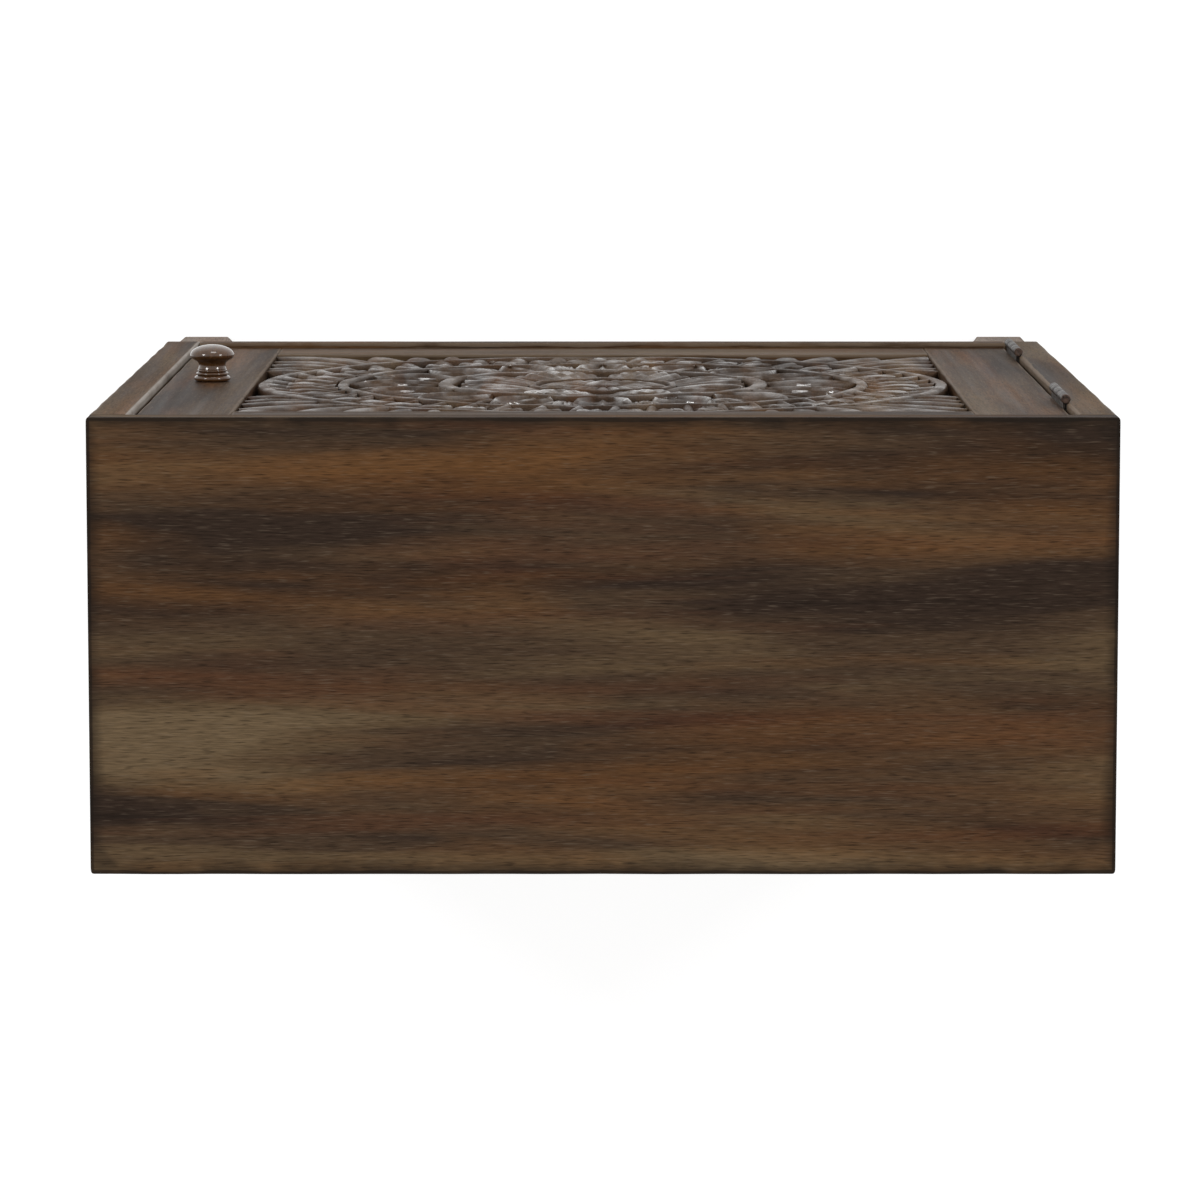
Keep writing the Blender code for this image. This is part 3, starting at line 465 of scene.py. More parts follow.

# Carved panel: ground
# One board held in the frame's grooves. The ground between the carved leaves is cut back, left with shallow
# gouge marks and painted nearly black: painted shade for its depth between the leaves.

PANEL_BASE = 0.008
GROOVE_DEPTH = 0.007
GROUND_STEPS = 90
GOUGE_DEPTH = 0.0005
GOUGE_ACROSS = 520
GOUGE_UP = 430
GOUGE_BEND = 60
GOUGE_SWAY = 3
HOLLOW_LOW = 0.0005
HOLLOW_HIGH = 0.0062
CREST_LOW = 0.0075
CREST_HIGH = 0.0105
POLISH_FULL = 0.0090
BEHIND_GROUND = (0.002, 0.005)
# Painted shade for the carving's hollows and ground.
HOLLOW_SHADE = (0.010, 0.007, 0.005)
WORN_CREST = (0.120, 0.088, 0.064)
CARVED_TONES = ((0.00, (0.016, 0.011, 0.008)), (0.30, (0.034, 0.021, 0.014)), (0.52, (0.056, 0.035, 0.022)),
                (0.76, (0.084, 0.054, 0.032)), (1.00, (0.116, 0.080, 0.050)))

panel_low, panel_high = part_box("carved_panel")
panel_z = (panel_low[2] + panel_high[2]) / 2
panel_back = panel_high[1]
ground_y = panel_back - PANEL_BASE
opening_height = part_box("door_top_rail")[0][2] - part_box("door_bottom_rail")[1][2]
opening = np.array((frame_inner_x, opening_height / 2))


def carved_wood(name, wax):
    """The door's walnut stain, with painted shade near black in the hollows and rubbed paler on the crests,
    by depth.

    Wax is the weight of the polish, rubbed up in patches on the crests. Fine chisel cuts break its shine.
    """
    material = stained_wood(name, 2, (0.4, 0.8, 0.3), CARVED_TONES, 0.06, (0.42, 0.55), 0.8)
    tree = material.node_tree
    shader = tree.nodes["Principled BSDF"]
    shader.inputs["Coat Roughness"].default_value = 0.07
    shader.inputs["Coat IOR"].default_value = 1.85
    stain = shader.inputs["Base Color"].links[0].from_socket
    coords = add_node(tree, "TexCoord", {}, output=3)
    depth = add_node(tree, "SeparateXYZ", {"Vector": coords}, output=1)
    patches = add_noise(tree, coords, 60, 3, 0.6)
    hollow = add_range(tree, depth, ground_y - HOLLOW_HIGH, ground_y - HOLLOW_LOW, 0, 0.95)
    front_side = add_range(tree, depth, ground_y + BEHIND_GROUND[0], ground_y + BEHIND_GROUND[1], 1, 0.3)
    hollow = add_node(tree, "Math", {0: hollow, 1: front_side}, operation="MULTIPLY")
    # Painted shade: the hollows and the ground are darkened towards black by their depth.
    colour = add_blend(tree, hollow, stain, (*HOLLOW_SHADE, 1))
    crest = add_range(tree, depth, ground_y - CREST_LOW, ground_y - CREST_HIGH, 0, 0.12)
    rubbed = add_node(tree, "Math", {0: crest, 1: add_range(tree, patches, 0.35, 0.7, 0.2, 1.0)},
                      operation="MULTIPLY")
    colour = add_blend(tree, rubbed, colour, (*WORN_CREST, 1))
    tree.links.new(colour, shader.inputs["Base Color"])
    raised = add_range(tree, depth, ground_y - HOLLOW_HIGH, ground_y - POLISH_FULL, 0.15, 1)
    polish = add_range(tree, add_noise(tree, coords, 48, 2, 0.5), 0.42, 0.62, 0.05 * wax, wax)
    polish = add_node(tree, "Math", {0: raised, 1: polish}, operation="MULTIPLY")
    tree.links.new(polish, shader.inputs["Coat Weight"])
    cuts = add_noise(tree, add_node(tree, "Mapping", {"Vector": coords, "Scale": (0.3, 1, 1)}), 330, 2, 0.5)
    facets = add_node(tree, "Bump", {"Strength": 0.45, "Distance": 0.0012, "Height": cuts})
    tree.links.new(facets, shader.inputs["Coat Normal"])
    return material


ground_wood = carved_wood("carved_ground_walnut", 0.0)
carving_wood = carved_wood("carved_walnut", 1.0)
ring_wood = carved_wood("carved_ring_walnut", 0.38)
reach = np.linspace(-1, 1, GROUND_STEPS)[:, None] * (opening + GROOVE_DEPTH)
ground_x, ground_z = np.meshgrid(reach[:, 0], reach[:, 1])
bent = GOUGE_ACROSS * ground_x + GOUGE_SWAY * np.sin(GOUGE_BEND * ground_z)
gouged = GOUGE_DEPTH * (np.sin(bent) * np.sin(GOUGE_UP * ground_z) - 1)
front = np.stack((ground_x, ground_y - gouged, ground_z + panel_z), axis=-1)
rear = front.copy()
rear[:, :, 1] = panel_back
index = np.arange(GROUND_STEPS ** 2).reshape(GROUND_STEPS, GROUND_STEPS)
quads = np.stack((index[:-1, :-1], index[:-1, 1:], index[1:, 1:], index[1:, :-1]), axis=-1).reshape(-1, 4)
rim_front = np.concatenate((index[0, :-1], index[:-1, -1], index[-1, :0:-1], index[:0:-1, 0]))
rim_rear = np.arange(len(rim_front)) + index.size
walls = np.stack((rim_front, rim_rear, np.roll(rim_rear, -1), np.roll(rim_front, -1)), axis=-1)
points = np.concatenate((front.reshape(-1, 3), rear.reshape(-1, 3)[rim_front]))
ground = add_mesh("carved_ground", points, quads.tolist() + walls.tolist() + [rim_rear[::-1].tolist()])
fit_piece(ground, "door", "carved_wood", ground_wood, "carved_panel")

# Carved panel: rings
# Four smooth bands of the panel's own wood, left standing when the ground was cut back. They divide the
# carving into rounds and waver a little, as a hand-held knife leaves them.

SINK = 0.0006
RING_STEPS = 240
RING_POINTS = 15
RING_WAVER = 0.0003
RINGS = (("rosette_ring", 0.0500, 0.0555, 0.0088), ("petal_band", 0.1120, 0.1245, 0.0102),
         ("lotus_ring", 0.1900, 0.2000, 0.0094), ("outer_band", 0.2490, 0.2595, 0.0096))


def on_panel(radius, angle, height):
    """A polar place on the panel, from +X towards +Z, and a height off the ground towards the front."""
    return np.stack(np.broadcast_arrays(radius * np.cos(angle), ground_y - height,
                                        panel_z + radius * np.sin(angle)), axis=-1)


def add_carving(name, loops, wood, ring=False):
    """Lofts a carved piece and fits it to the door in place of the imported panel."""
    fit_piece(loft(name, loops, ring), "door", "carved_wood", wood, "carved_panel")


for seed, (name, inner, outer, rise) in enumerate(RINGS):
    angle = np.arange(RING_STEPS)[:, None] * 2 * math.pi / RING_STEPS
    part = 0.5 - 0.5 * np.cos(np.linspace(0, math.pi, RING_POINTS))
    crown = np.sqrt(1 - np.abs(2 * part - 1) ** 6)
    lap = np.sin(angle * 3 + seed) * RING_WAVER + np.sin(angle * 8 + 2 * seed) * RING_WAVER
    swell = 1 - 0.04 * (1 + np.sin(angle * 5 + seed)) - 0.03 * (1 + np.sin(angle * 13 + 3 * seed))
    radius = inner + (outer - inner) * part + lap
    height = rise * swell * (0.12 + 0.88 * crown)
    base = np.full((RING_STEPS, 1), -SINK)
    radius = np.concatenate((radius[:, :1], radius, radius[:, -1:]), axis=1)
    height = np.concatenate((base, height, base), axis=1)
    add_carving("carved_" + name, on_panel(radius, angle, height), ring_wood, ring=True)

# Carved panel: rosette
# A smooth round boss in the middle of the panel, with narrow flutes fanning out from it to the first ring,
# all cut from the same board.

ROSETTE_RADIUS = 0.0495
BOSS_RADIUS = 0.0140
BOSS_HEIGHT = 0.0104
BOSS_FALL = 0.0030
FLUTE_HEIGHT = 0.0050
FLUTE_SWELL = 0.0032
FLUTE_END_FALL = 0.003
FLUTES = 24
ROSETTE_ROWS = 48
ROSETTE_STEPS = 288

angle = np.arange(ROSETTE_STEPS) * 2 * math.pi / ROSETTE_STEPS
part = np.linspace(0.01, 1, ROSETTE_ROWS)[:, None]
radius = ROSETTE_RADIUS * part
flute = np.abs(np.cos(FLUTES / 2 * angle)) ** 0.8
boss = BOSS_HEIGHT - BOSS_FALL * (radius / BOSS_RADIUS) ** 2
fan = np.clip((radius - BOSS_RADIUS) / (ROSETTE_RADIUS - BOSS_RADIUS), 0, 1)
fluted = FLUTE_HEIGHT + FLUTE_SWELL * np.sin(math.pi * (0.15 + 0.7 * fan)) * (0.35 + 0.65 * flute)
height = np.where(radius < BOSS_RADIUS, boss, fluted - FLUTE_END_FALL * fan ** 8 * (1.2 - flute))
loops = np.concatenate((on_panel(radius, angle, height),
                        on_panel(radius[-1:], angle, np.full((1, ROSETTE_STEPS), -SINK))))
add_carving("carved_rosette", loops, carving_wood)

# Carved panel: shell petals
# Eight broad shells round the rosette, cut from the same board. Each is domed, round at its outer end and
# gouged into ribs that fan out along it.

SHELLS = 8
SHELL_INNER = 0.0550
SHELL_OUTER = 0.1105
SHELL_HALF_ANGLE = math.radians(21.8)
SHELL_LOOPS = 34
SHELL_POINTS = 37
SHELL_LIFT = 0.0050
SHELL_SWELL = 0.0046
RIB_DEPTH = 0.0011
RIBS = 7


def leaf_loops(spine, half_width, section, height):
    """Loops of one leaf: a section carried along a spine that lies on the panel.

    Spine holds (x, z) from the panel's middle. Section gives places across the leaf from -1 to 1, and height
    the rise at each loop and place. Two points under the ground close each loop.
    """
    run = np.gradient(spine, axis=0)
    run = run / np.linalg.norm(run, axis=1, keepdims=True)
    across = np.stack((-run[:, 1], run[:, 0]), axis=1)
    plan = spine[:, None] + across[:, None] * (half_width[:, None] * section)[:, :, None]
    plan = np.concatenate((plan[:, :1], plan, plan[:, -1:]), axis=1)
    low = np.full((len(spine), 1), -SINK)
    height = np.concatenate((low, height, low), axis=1)
    return np.stack((plan[:, :, 0], ground_y - height, plan[:, :, 1] + panel_z), axis=-1)


def turn_copies(loops, angles):
    """Copies of a leaf's loops, turned about the panel's middle."""
    angles = np.asarray(angles)
    x = loops[..., 0]
    z = loops[..., 2] - panel_z
    cos = np.cos(angles)[:, None, None]
    sin = np.sin(angles)[:, None, None]
    return np.stack((x * cos - z * sin, np.broadcast_to(loops[..., 1], (len(angles), *x.shape)),
                     x * sin + z * cos + panel_z), axis=-1)


def radial_spine(start, end, count):
    """A straight spine along +X between two radii."""
    return np.stack((np.linspace(start, end, count), np.zeros(count)), axis=1)


def full_turn(count, start=0.0):
    """Evenly spaced angles round a circle."""
    return start + np.arange(count) * 2 * math.pi / count


part = np.linspace(0, 1, SHELL_LOOPS)
section = np.linspace(-1, 1, SHELL_POINTS)
round_end = np.sqrt(np.clip(1 - (np.clip(part - 0.62, 0, 1) / 0.385) ** 2, 0.0, 1))
half = (SHELL_INNER + (SHELL_OUTER - SHELL_INNER) * part) * math.tan(SHELL_HALF_ANGLE) * round_end
dome = (1 - 0.40 * section ** 2) * (1 - np.abs(section) ** 12 * 0.5)
ribs = RIB_DEPTH * np.cos(section * math.pi * RIBS) * np.clip(part * 1.6, 0, 1)[:, None]
lift = SHELL_LIFT + SHELL_SWELL * np.sin(math.pi * (0.10 + 0.62 * part))
spine = radial_spine(SHELL_INNER, SHELL_OUTER, SHELL_LOOPS)
shell = leaf_loops(spine, half, section, lift[:, None] * dome + ribs)
add_carving("carved_shell_petals", turn_copies(shell, full_turn(SHELLS, math.pi / SHELLS)), carving_wood)

# Carved panel: lotus petals
# Sixteen pointed petals round the second ring, hollowed like a spoon between two raised rims, with a vein
# left standing down the middle.

LOTUS_PETALS = 16
LOTUS_INNER = 0.1230
LOTUS_OUTER = 0.1905
LOTUS_HALF_WIDTH = 0.0228
LOTUS_LOOPS = 28
LOTUS_POINTS = 21
LOTUS_LIFT = 0.0072
LOTUS_SWELL = 0.0026
POINT_HALF_WIDTH = 0.0004


def rimmed(section, hollow, vein):
    """A spoon's section: a hollow between two raised rims that drop at the edges, and a middle vein."""
    rim = hollow + (1 - hollow) * np.exp(-((np.abs(section) - 0.78) / 0.17) ** 2)
    edge = 1 - 0.7 * np.clip((np.abs(section) - 0.86) / 0.14, 0, 1) ** 2
    return rim * edge + vein * np.exp(-(section / 0.11) ** 2)


part = np.linspace(0, 1, LOTUS_LOOPS)
section = np.linspace(-1, 1, LOTUS_POINTS)
half = POINT_HALF_WIDTH + LOTUS_HALF_WIDTH * np.sin(math.pi * np.clip(0.12 + 0.88 * part, 0, 1)) ** 0.85
lift = LOTUS_LIFT + LOTUS_SWELL * np.sin(math.pi * (0.15 + 0.70 * part))
spine = radial_spine(LOTUS_INNER, LOTUS_OUTER, LOTUS_LOOPS)
petal = leaf_loops(spine, half, section, lift[:, None] * rimmed(section, 0.60, 0.22))
add_carving("carved_lotus_petals", turn_copies(petal, full_turn(LOTUS_PETALS)), carving_wood)

# Carved panel: small leaves
# Sprays of five thin leaves that fill the gaps between the lotus petals, cut from the same board. They bend
# away from each other, and each has a shallow groove along its ridge.

SPRAY = ((-2, 0.046), (-1, 0.053), (0, 0.057), (1, 0.053), (2, 0.046))
SPRAY_START = 0.1335
SPRAY_HALF_WIDTH = 0.0048
SPRAY_SPREAD = 0.0010
SPRAY_BEND = 0.0105
SPRAY_LIFT = 0.0034
SPRAY_SWELL = 0.0056
SPRAY_FALL = 0.0008
SPRAY_LOOPS = 18
SPRAY_POINTS = 9

part = np.linspace(0, 1, SPRAY_LOOPS)
section = np.linspace(-1, 1, SPRAY_POINTS)
half = POINT_HALF_WIDTH + SPRAY_HALF_WIDTH * np.sin(math.pi * part ** 0.8)
ridge = (1 - np.abs(section) ** 3) ** 0.5 - 0.14 * np.exp(-(section / 0.2) ** 2)
sprays = []
for bend, reach in SPRAY:
    spine = np.stack((SPRAY_START + reach * part, bend * (SPRAY_SPREAD + SPRAY_BEND * part ** 1.3)), axis=1)
    swell = SPRAY_SWELL - SPRAY_FALL * abs(bend)
    lift = SPRAY_LIFT + swell * np.sin(math.pi * (0.08 + 0.72 * part))
    leaf = leaf_loops(spine, half, section, lift[:, None] * (0.15 + 0.85 * ridge))
    sprays.append(turn_copies(leaf, full_turn(LOTUS_PETALS, math.pi / LOTUS_PETALS)))
add_carving("carved_lotus_leaves", np.concatenate(sprays), carving_wood)

# Carved panel: curled leaves and buds
# A ring of leaves between the two outer bands, each of which bends over as it widens, with a bud above it and
# a smaller one below, cut as plain ridges.

CURLS = 48
CURL_INNER = 0.2000
CURL_OUTER = 0.2500
CURL_LENGTH = 0.041
CURL_SIDE = -0.0150
CURL_HEADING = math.radians(38)
CURL_BEND = math.radians(95)
CURL_STALK = 0.0036
CURL_WIDENING = 0.0078
CURL_LIFT = 0.0052
CURL_SWELL = 0.0042
CURL_LOOPS = 26
CURL_POINTS = 15
BUDS = (((CURL_OUTER, 0.0030), (0.2215, 0.0120), 0.0100), ((CURL_INNER, 0.0090), (0.2230, 0.0040), 0.0050))
BUD_LIFT = 0.0086
BUD_FALL = 0.0030
BUD_POINT = 0.0003
BUD_LOOPS = 14
BUD_POINTS = 9

part = np.linspace(0, 1, CURL_LOOPS)
section = np.linspace(-1, 1, CURL_POINTS)
heading = CURL_HEADING - CURL_BEND * part ** 1.3
spine = np.cumsum(np.stack((np.cos(heading), np.sin(heading)), axis=1), axis=0) * CURL_LENGTH / CURL_LOOPS
spine = spine - spine[0] + (CURL_INNER, CURL_SIDE)
round_end = np.sqrt(np.clip(1 - (np.clip(part - 0.66, 0, 1) / 0.345) ** 2, 0, 1))
half = (CURL_STALK + CURL_WIDENING * np.clip(part / 0.66, 0, 1) ** 1.2) * round_end
lift = CURL_LIFT + CURL_SWELL * np.sin(math.pi * (0.05 + 0.65 * part))
scale = np.sqrt(1 - 0.94 * np.abs(section) ** 4) * (0.90 - 0.10 * np.cos(math.pi * section))
curl = leaf_loops(spine, half, section, lift[:, None] * scale)
add_carving("carved_curled_leaves", turn_copies(curl, full_turn(CURLS)), carving_wood)

part = np.linspace(0, 1, BUD_LOOPS)
section = np.linspace(-1, 1, BUD_POINTS)
ridge = (1 - section ** 2) ** 0.5
lift = BUD_LIFT - BUD_FALL * part
buds = []
for start, end, width in BUDS:
    spine = np.linspace(start, end, BUD_LOOPS)
    half = BUD_POINT + width * np.cos(math.pi / 2 * part) ** 0.6
    bud = leaf_loops(spine, half, section, lift[:, None] * (0.2 + 0.8 * ridge))
    buds.append(turn_copies(bud, full_turn(CURLS)))
add_carving("carved_buds", np.concatenate(buds), carving_wood)

# Carved panel: corner leaves
# A palm-like fan in each corner of the board: nine round-ended leaves that spread from the outer band to the
# frame, mirrored about the corner's diagonal.

LOBES = ((0.000, 0.0, 0.0150, 0.0000), (0.042, 4.0, 0.0142, 0.0006), (0.078, 8.5, 0.0130, 0.0002),
         (0.110, 13.0, 0.0116, 0.0007), (0.139, 17.5, 0.0088, 0.0004))
LOBE_ROOT = 0.2570
LOBE_GAP = 0.0014
LOBE_ROOT_WIDTH = 0.0030
LOBE_LIFT = 0.0078
LOBE_SWELL = 0.0018
LOBE_LOOPS = 24
LOBE_POINTS = 13

part = np.linspace(0, 1, LOBE_LOOPS)
section = np.linspace(-1, 1, LOBE_POINTS)
ridge = np.sqrt(1 - 0.88 * np.abs(section) ** 3)
round_end = np.sqrt(np.clip(1 - (np.clip(part - 0.70, 0, 1) / 0.305) ** 2, 0, 1))
fans = []
for reach, degrees, width, drop in LOBES:
    turn = math.radians(45 + degrees)
    root = LOBE_ROOT * np.array((math.cos(turn), math.sin(turn)))
    tip = opening - LOBE_GAP - np.array((reach, 0.0))
    knee = root * (0.25, 0.60) + tip * (0.75, 0.40)
    along = part[:, None]
    spine = root * (1 - along) ** 2 + knee * 2 * along * (1 - along) + tip * along ** 2
    half = (LOBE_ROOT_WIDTH + (width - LOBE_ROOT_WIDTH) * np.clip(part / 0.6, 0, 1) ** 0.8) * round_end
    lift = LOBE_LIFT + LOBE_SWELL * np.sin(math.pi * (0.1 + 0.75 * part)) - drop
    for side in ((spine,) if reach == 0 else (spine, spine[:, ::-1])):
        lobe = leaf_loops(side, half, section, lift[:, None] * ridge)
        fans.append(turn_copies(lobe, full_turn(4)))
add_carving("carved_corner_fans", np.concatenate(fans), ring_wood)

# Knob
# A small hardwood knob turned on a lathe: beads at the foot, a hollow neck and a mushroom head, stained
# dark, lacquered and screwed on from behind the stile.

KNOB_STEPS = 72
HEAD_RISE = 0.0079
HEAD_DROP = 0.0062
HEAD_UNDERCUT = -41
NECK_START = 0.0092
NECK_END = 0.0042
NECK_RADIUS = 0.0095
NECK_FOOT_FLARE = 0.0011
NECK_HEAD_FLARE = 0.0028
BEADS = (((0.0113, 0.0021), (0.0022, 0.0021), -90, 80, 11), ((0.0105, 0.0056), (0.0016, 0.0013), -80, 80, 9),
         ((0.0100, 0.0080), (0.0011, 0.0010), -80, 80, 7))
KNOB_TONES = ((0.00, (0.016, 0.006, 0.002)), (0.50, (0.068, 0.030, 0.010)), (1.00, (0.140, 0.067, 0.023)))


def arc_points(centre, radii, start, end, count):
    """Points (radius, place) on an elliptic arc, with its angles in degrees."""
    turn = np.radians(np.linspace(start, end, count))
    return np.stack((centre[0] + radii[0] * np.cos(turn), centre[1] + radii[1] * np.sin(turn)), axis=1)


low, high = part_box("knob")
knob_length = high[1] - low[1]
head_radius = (high[0] - low[0]) / 2
head_place = knob_length - HEAD_RISE
neck = np.linspace(0, 1, 16)
neck_radius = NECK_RADIUS + NECK_FOOT_FLARE * (1 - neck) ** 2 + NECK_HEAD_FLARE * neck ** 3.5
neck_place = NECK_START + (head_place - NECK_END - NECK_START) * neck
profile = np.concatenate((*(arc_points(*bead) for bead in BEADS),
                          np.stack((neck_radius, neck_place), axis=1),
                          arc_points((0.0, head_place), (head_radius, HEAD_DROP), HEAD_UNDERCUT, 0, 9),
                          arc_points((0.0, head_place), (head_radius, HEAD_RISE), 0, 89, 20)[1:]))
knob_centre = ((low[0] + high[0]) / 2, high[1], (low[2] + high[2]) / 2)
knob = loft("turned_knob", disc_loops(knob_centre, 1, profile[:, 0], -profile[:, 1], KNOB_STEPS))
knob_wood = stained_wood("knob_lacquered_wood", 1, (0.15, 0.35, 0.55), KNOB_TONES, 0.1, (0.30, 0.42))
lacquer = knob_wood.node_tree.nodes["Principled BSDF"].inputs
lacquer["Coat Weight"].default_value = 1.0
lacquer["Coat Roughness"].default_value = 0.05
fit_piece(knob, "door", "knob_wood", knob_wood, "knob")

# Hinges
# Two loose butt hinges in aged dark iron: a leaf let into the case side and one into the door's edge, three
# rolled knuckles and a pin whose ends are riveted over and have gone rust brown.

HINGE_STEPS = 40
KNUCKLE_ROUND = 0.0004
KNUCKLE_WALL = 0.0015
KNUCKLE_GAPS = 0.0008
LEAF_NEAR = 0.0002
LEAF_FAR = 0.0018
LEAF_EASE = 0.0003
LEAF_START_SHARE = 0.8
LEAF_OVERRUN = 0.001
PIN_CROWN = 0.0006
PIN_PLAY = 0.0003
PIN_COLLAR = 0.0018
PIN_DIMPLE = (0.0015, 0.0003, 0.0002)
IRON = (0.036, 0.031, 0.027)
IRON_WORN = (0.110, 0.098, 0.086)
RUST = (0.062, 0.031, 0.018)


def aged_iron(name, rust):
    """Dark patinated iron: blotched oxide, rubbed paler in places, with a share of rust."""
    material, tree, shader = start_material(name)
    coords = add_node(tree, "TexCoord", {}, output=3)
    blotch = add_noise(tree, coords, 260, 4, 0.65)
    grit = add_noise(tree, coords, 2400, 2, 0.6)
    colour = add_ramp(tree, add_range(tree, blotch, 0.32, 0.68, 0, 1),
                      ((0.0, (0.014, 0.012, 0.011)), (0.5, IRON), (1.0, IRON_WORN)))
    patches = add_noise(tree, coords, 420, 3, 0.6)
    bloom = add_range(tree, patches, 0.62 - 0.4 * rust, 0.72 - 0.2 * rust, 0, 0.9)
    colour = add_blend(tree, bloom, colour, (*RUST, 1))
    tree.links.new(colour, shader.inputs["Base Color"])
    tree.links.new(add_range(tree, blotch, 0.3, 0.7, 0.62, 0.36), shader.inputs["Roughness"])
    tree.links.new(add_range(tree, bloom, 0, 0.9, 0.85, 0.25), shader.inputs["Metallic"])
    bump = add_node(tree, "Bump", {"Strength": 0.3, "Distance": 0.0003, "Height": grit})
    tree.links.new(bump, shader.inputs["Normal"])
    return material


def knuckle_profile(outer, bore, start, end):
    """The closed section of a rolled knuckle, with its two outer edges rounded over."""
    turn = np.linspace(0, math.pi / 2, 4)
    low_edge = np.stack((outer - KNUCKLE_ROUND + KNUCKLE_ROUND * np.sin(turn),
                         start + KNUCKLE_ROUND - KNUCKLE_ROUND * np.cos(turn)), axis=1)
    high_edge = low_edge[::-1] * (1, -1) + (0, start + end)
    return np.concatenate((((bore, start),), low_edge, high_edge, ((bore, end),)))


def ring_loops(centre, profile, steps):
    """Loops of a ring: a closed section turned about an upright axis."""
    angle = np.arange(steps)[:, None] * 2 * math.pi / steps
    return np.stack((centre[0] + profile[:, 0] * np.cos(angle), centre[1] + profile[:, 0] * np.sin(angle),
                     np.broadcast_to(centre[2] + profile[:, 1], (steps, len(profile)))), axis=-1)


iron = aged_iron("hinge_iron", 0.15)
rusted = aged_iron("hinge_pin_iron", 0.8)
axis_x, axis_y = frame["record"]["behaviour"]["joints"][0]["pos_m"][:2]
for word in ("upper", "lower"):
    pin_low, pin_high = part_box(word + "_hinge_pin")
    knuckle_radius = (pin_high[0] - pin_low[0]) / 2
    centre = np.array((axis_x, axis_y, (pin_low[2] + pin_high[2]) / 2))
    bore = knuckle_radius - KNUCKLE_WALL
    for body, sign in (("case", -1), ("door", 1)):
        hinge = f"{word}_hinge_{body}"
        low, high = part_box(hinge + "_leaf")
        half = (high[2] - low[2]) / 2
        third = (2 * half - KNUCKLE_GAPS) / 3
        spans = ((-third / 2, third / 2),)
        if body == "case":
            spans = ((-half, -half + third), (half - third, half))
        faces = sorted((axis_x + sign * LEAF_NEAR, axis_x + sign * LEAF_FAR))
        plate = add_board(hinge + "_plate", (faces[0], axis_y + knuckle_radius * LEAF_START_SHARE, low[2]),
                          (faces[1], *high[1:]), 2, LEAF_EASE, seed=80)
        drill(plate, [screw_hole(f"{hinge}_screw_{row}", 0, faces[0] - LEAF_OVERRUN, faces[1] + LEAF_OVERRUN)
                      for row in (1, 2)])
        fit_piece(plate, body, "hinge_metal", iron, hinge + "_leaf")
        sections = [knuckle_profile(knuckle_radius, bore, *span) for span in spans]
        rings = np.stack([ring_loops(centre, section, HINGE_STEPS) for section in sections])
        fit_piece(loft(hinge + "_knuckles", rings, ring=True), body, "hinge_metal", iron, hinge + "_leaf")
    reach = (pin_high[2] - pin_low[2]) / 2
    collar = reach - PIN_COLLAR
    rod = bore - PIN_PLAY
    rim, tip, dip = PIN_DIMPLE
    head = arc_points((knuckle_radius - PIN_CROWN, reach - PIN_CROWN), (PIN_CROWN, PIN_CROWN), 0, 90, 5)
    upper_half = np.concatenate((((rod, 0.0), (rod, collar), (knuckle_radius, collar)), head,
                                 ((rim, reach), (tip, reach - dip))))
    profile = np.concatenate((upper_half[::-1] * (1, -1), upper_half[1:]))
    pin = loft(f"{word}_hinge_riveted_pin", disc_loops(centre, 2, profile[:, 0], profile[:, 1], HINGE_STEPS))
    fit_piece(pin, "case", "hinge_pin_metal", rusted, word + "_hinge_pin")

# Fittings and fasteners
# Screws, bolts, shelf pins, dowels and the magnetic catch: plain zinc-plated steel, bare beech and brown
# moulded plastic, as bought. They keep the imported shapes.


def plated_steel(name):
    """Zinc-plated steel: a grey metal, faintly blotched, with fine scratches."""
    material, tree, shader = start_material(name)
    coords = add_node(tree, "TexCoord", {}, output=3)
    blotch = add_noise(tree, coords, 300, 3, 0.6)
    scratch = add_noise(tree, add_node(tree, "Mapping", {"Vector": coords, "Scale": (1, 1, 0.05)}), 3000, 2)
    colour = add_ramp(tree, blotch, ((0.3, (0.30, 0.30, 0.29)), (0.7, (0.52, 0.52, 0.50))))
    tree.links.new(colour, shader.inputs["Base Color"])
    tree.links.new(add_range(tree, scratch, 0.3, 0.7, 0.28, 0.50), shader.inputs["Roughness"])
    shader.inputs["Metallic"].default_value = 1.0
    bump = add_node(tree, "Bump", {"Strength": 0.1, "Distance": 0.0002, "Height": scratch})
    tree.links.new(bump, shader.inputs["Normal"])
    return material


def moulded_plastic(name):
    """Brown moulded plastic with a fine spark-eroded texture."""
    material, tree, shader = start_material(name)
    coords = add_node(tree, "TexCoord", {}, output=3)
    grit = add_noise(tree, coords, 2200, 2, 0.6)
    tint = add_noise(tree, coords, 120, 2, 0.5)
    colour = add_ramp(tree, tint, ((0.3, (0.070, 0.040, 0.026)), (0.7, (0.105, 0.062, 0.042))))
    tree.links.new(colour, shader.inputs["Base Color"])
    tree.links.new(add_range(tree, grit, 0.3, 0.7, 0.45, 0.65), shader.inputs["Roughness"])
    bump = add_node(tree, "Bump", {"Strength": 0.25, "Distance": 0.0002, "Height": grit})
    tree.links.new(bump, shader.inputs["Normal"])
    return material


BEECH_TONES = ((0.00, (0.340, 0.210, 0.115)), (0.50, (0.470, 0.310, 0.180)), (1.00, (0.580, 0.410, 0.260)))

steel = plated_steel("plated_steel")
finishes = {"hinge_metal": iron, "fastener_steel": steel, "catch_plastic": moulded_plastic("catch_plastic"),
            "dowel_wood": stained_wood("bare_beech", 0, (0.1, 0.2, 0.3), BEECH_TONES)}
slots = {entry["node"]: entry["material_slot"] for entry in frame["record"]["subparts"]}
for name, node in frame["nodes"].items():
    if not node.hide_render:
        node.material_slots[0].material = finishes[slots[name]]

# Studio
# A pale floor, four soft lamps round the cabinet and a plain bright room, seen by a long lens from above the
# cabinet's front edge.

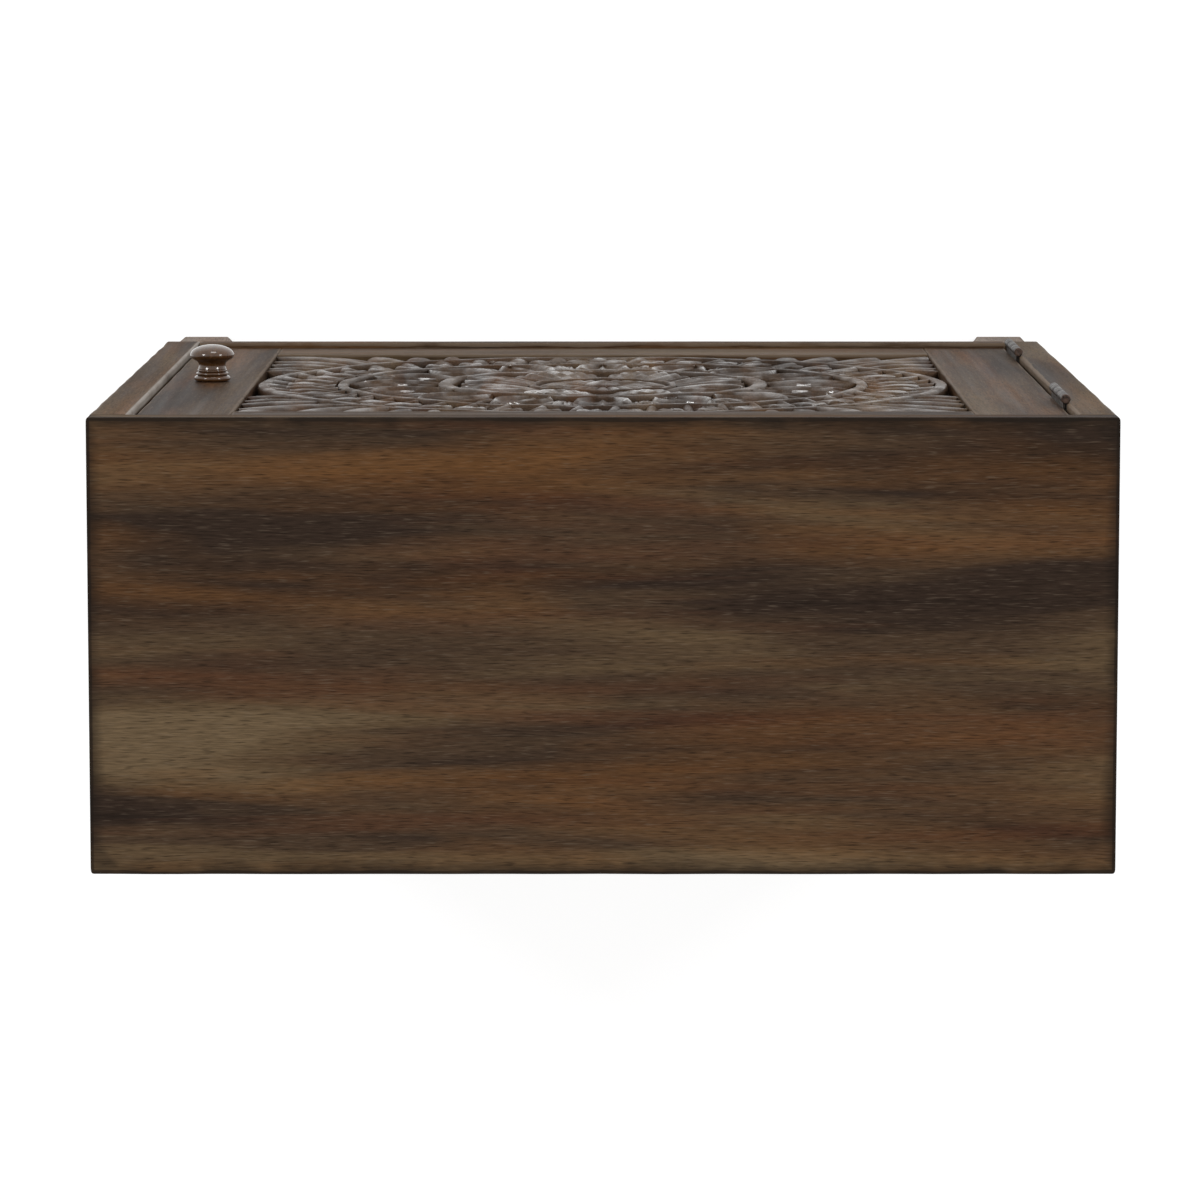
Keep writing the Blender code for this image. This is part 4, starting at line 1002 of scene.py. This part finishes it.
ROOM_LIGHT = 0.45
FLOOR_HALF = 30
FLOOR_GLOW = 0.78
FLOOR_FADE = (0.9, 2.6)
LAMP_POWER = 42.0
LENS = 162.8
SENSOR = 36.0
CAMERA_PLACE = (0.0021, -0.4735, 4.4898)
CAMERA_FORWARD = (0.0, 0.1210, -0.9927)
CAMERA_UP = (0.0, -0.9927, -0.1210)


def seen_rays(tree):
    """1 for what the camera sees, also in a mirror or through glass, and 0 for light that falls on things."""
    path = tree.nodes.new("ShaderNodeLightPath")
    seen = add_node(tree, "Math", {0: path.outputs["Is Camera Ray"], 1: path.outputs["Is Glossy Ray"]},
                    operation="MAXIMUM")
    return add_node(tree, "Math", {0: seen, 1: path.outputs["Is Transmission Ray"]}, operation="MAXIMUM")


floor_mesh = bpy.data.meshes.new("studio_floor")
floor_corners = [(x * FLOOR_HALF, y * FLOOR_HALF, 0) for x, y in ((-1, -1), (1, -1), (1, 1), (-1, 1))]
floor_mesh.from_pydata(floor_corners, [], [(0, 1, 2, 3)])
floor = bpy.data.objects.new("studio_floor", floor_mesh)
bpy.context.collection.objects.link(floor)
floor_paint, tree, shader = start_material("floor_paint")
shader.inputs["Base Color"].default_value = (0.8, 0.8, 0.8, 1)
shader.inputs["Roughness"].default_value = 0.9
shader.inputs["Specular IOR Level"].default_value = 0.0
shaded = add_node(tree, "BsdfDiffuse", {"Color": (0.35, 0.35, 0.35, 1)})
bright = add_node(tree, "Emission", {"Color": (1, 1, 1, 1), "Strength": FLOOR_GLOW})
white = add_node(tree, "Emission", {"Color": (1, 1, 1, 1), "Strength": 1.0})
place = add_node(tree, "TexCoord", {}, output=3)
away = add_node(tree, "VectorMath", {0: place}, output=1, operation="LENGTH")
shown = add_node(tree, "AddShader", {0: shaded, 1: bright})
shown = add_node(tree, "MixShader", {0: add_range(tree, away, *FLOOR_FADE, 0, 1), 1: shown, 2: white})
mixed = add_node(tree, "MixShader", {0: seen_rays(tree), 1: shader.outputs[0], 2: shown})
tree.links.new(mixed, tree.nodes["Material Output"].inputs["Surface"])
floor_mesh.materials.append(floor_paint)

world = bpy.data.worlds.new("studio_room")
bpy.context.scene.world = world
world.use_nodes = True
tree = world.node_tree
strength = add_range(tree, seen_rays(tree), 0, 1, ROOM_LIGHT, 1.0)
tree.links.new(strength, tree.nodes["Background"].inputs["Strength"])
tree.nodes["Background"].inputs["Color"].default_value = (1, 1, 1, 1)


def add_lamp(name, place, target, size, power):
    """A square soft lamp that looks at a target."""
    lamp = bpy.data.lights.new(name, "AREA")
    lamp.size = size
    lamp.energy = power
    item = bpy.data.objects.new(name, lamp)
    aim = np.array(target) - np.array(place)
    item.location = place
    item.rotation_euler = (math.acos(-aim[2] / np.linalg.norm(aim)), 0, math.atan2(-aim[0], aim[1]))
    bpy.context.collection.objects.link(item)


add_lamp("left_lamp", (-2.4, -1.6, 2.6), (0, 0, 0.5), 0.8, LAMP_POWER)
add_lamp("right_lamp", (2.4, -1.6, 2.6), (0, 0, 0.5), 0.8, LAMP_POWER)
add_lamp("rear_lamp", (0, 2.6, 2.8), (0, 0, 0.5), 1.8, LAMP_POWER)
add_lamp("front_lamp", (0, -3.2, 1.1), (0, 0, 0.4), 1.0, 0.5 * LAMP_POWER)

camera = bpy.data.objects.new("camera", bpy.data.cameras.new("camera"))
camera.data.lens = LENS
camera.data.sensor_width = SENSOR
camera.data.clip_end = 100.0
forward = np.array(CAMERA_FORWARD)
up = np.array(CAMERA_UP)
pose = np.eye(4)
pose[:3, :3] = np.stack((np.cross(forward, up), up, -forward), axis=1)
pose[:3, 3] = CAMERA_PLACE
camera.matrix_world = Matrix(pose.tolist())
bpy.context.collection.objects.link(camera)
bpy.context.scene.camera = camera
bpy.context.scene.view_settings.view_transform = "Standard"
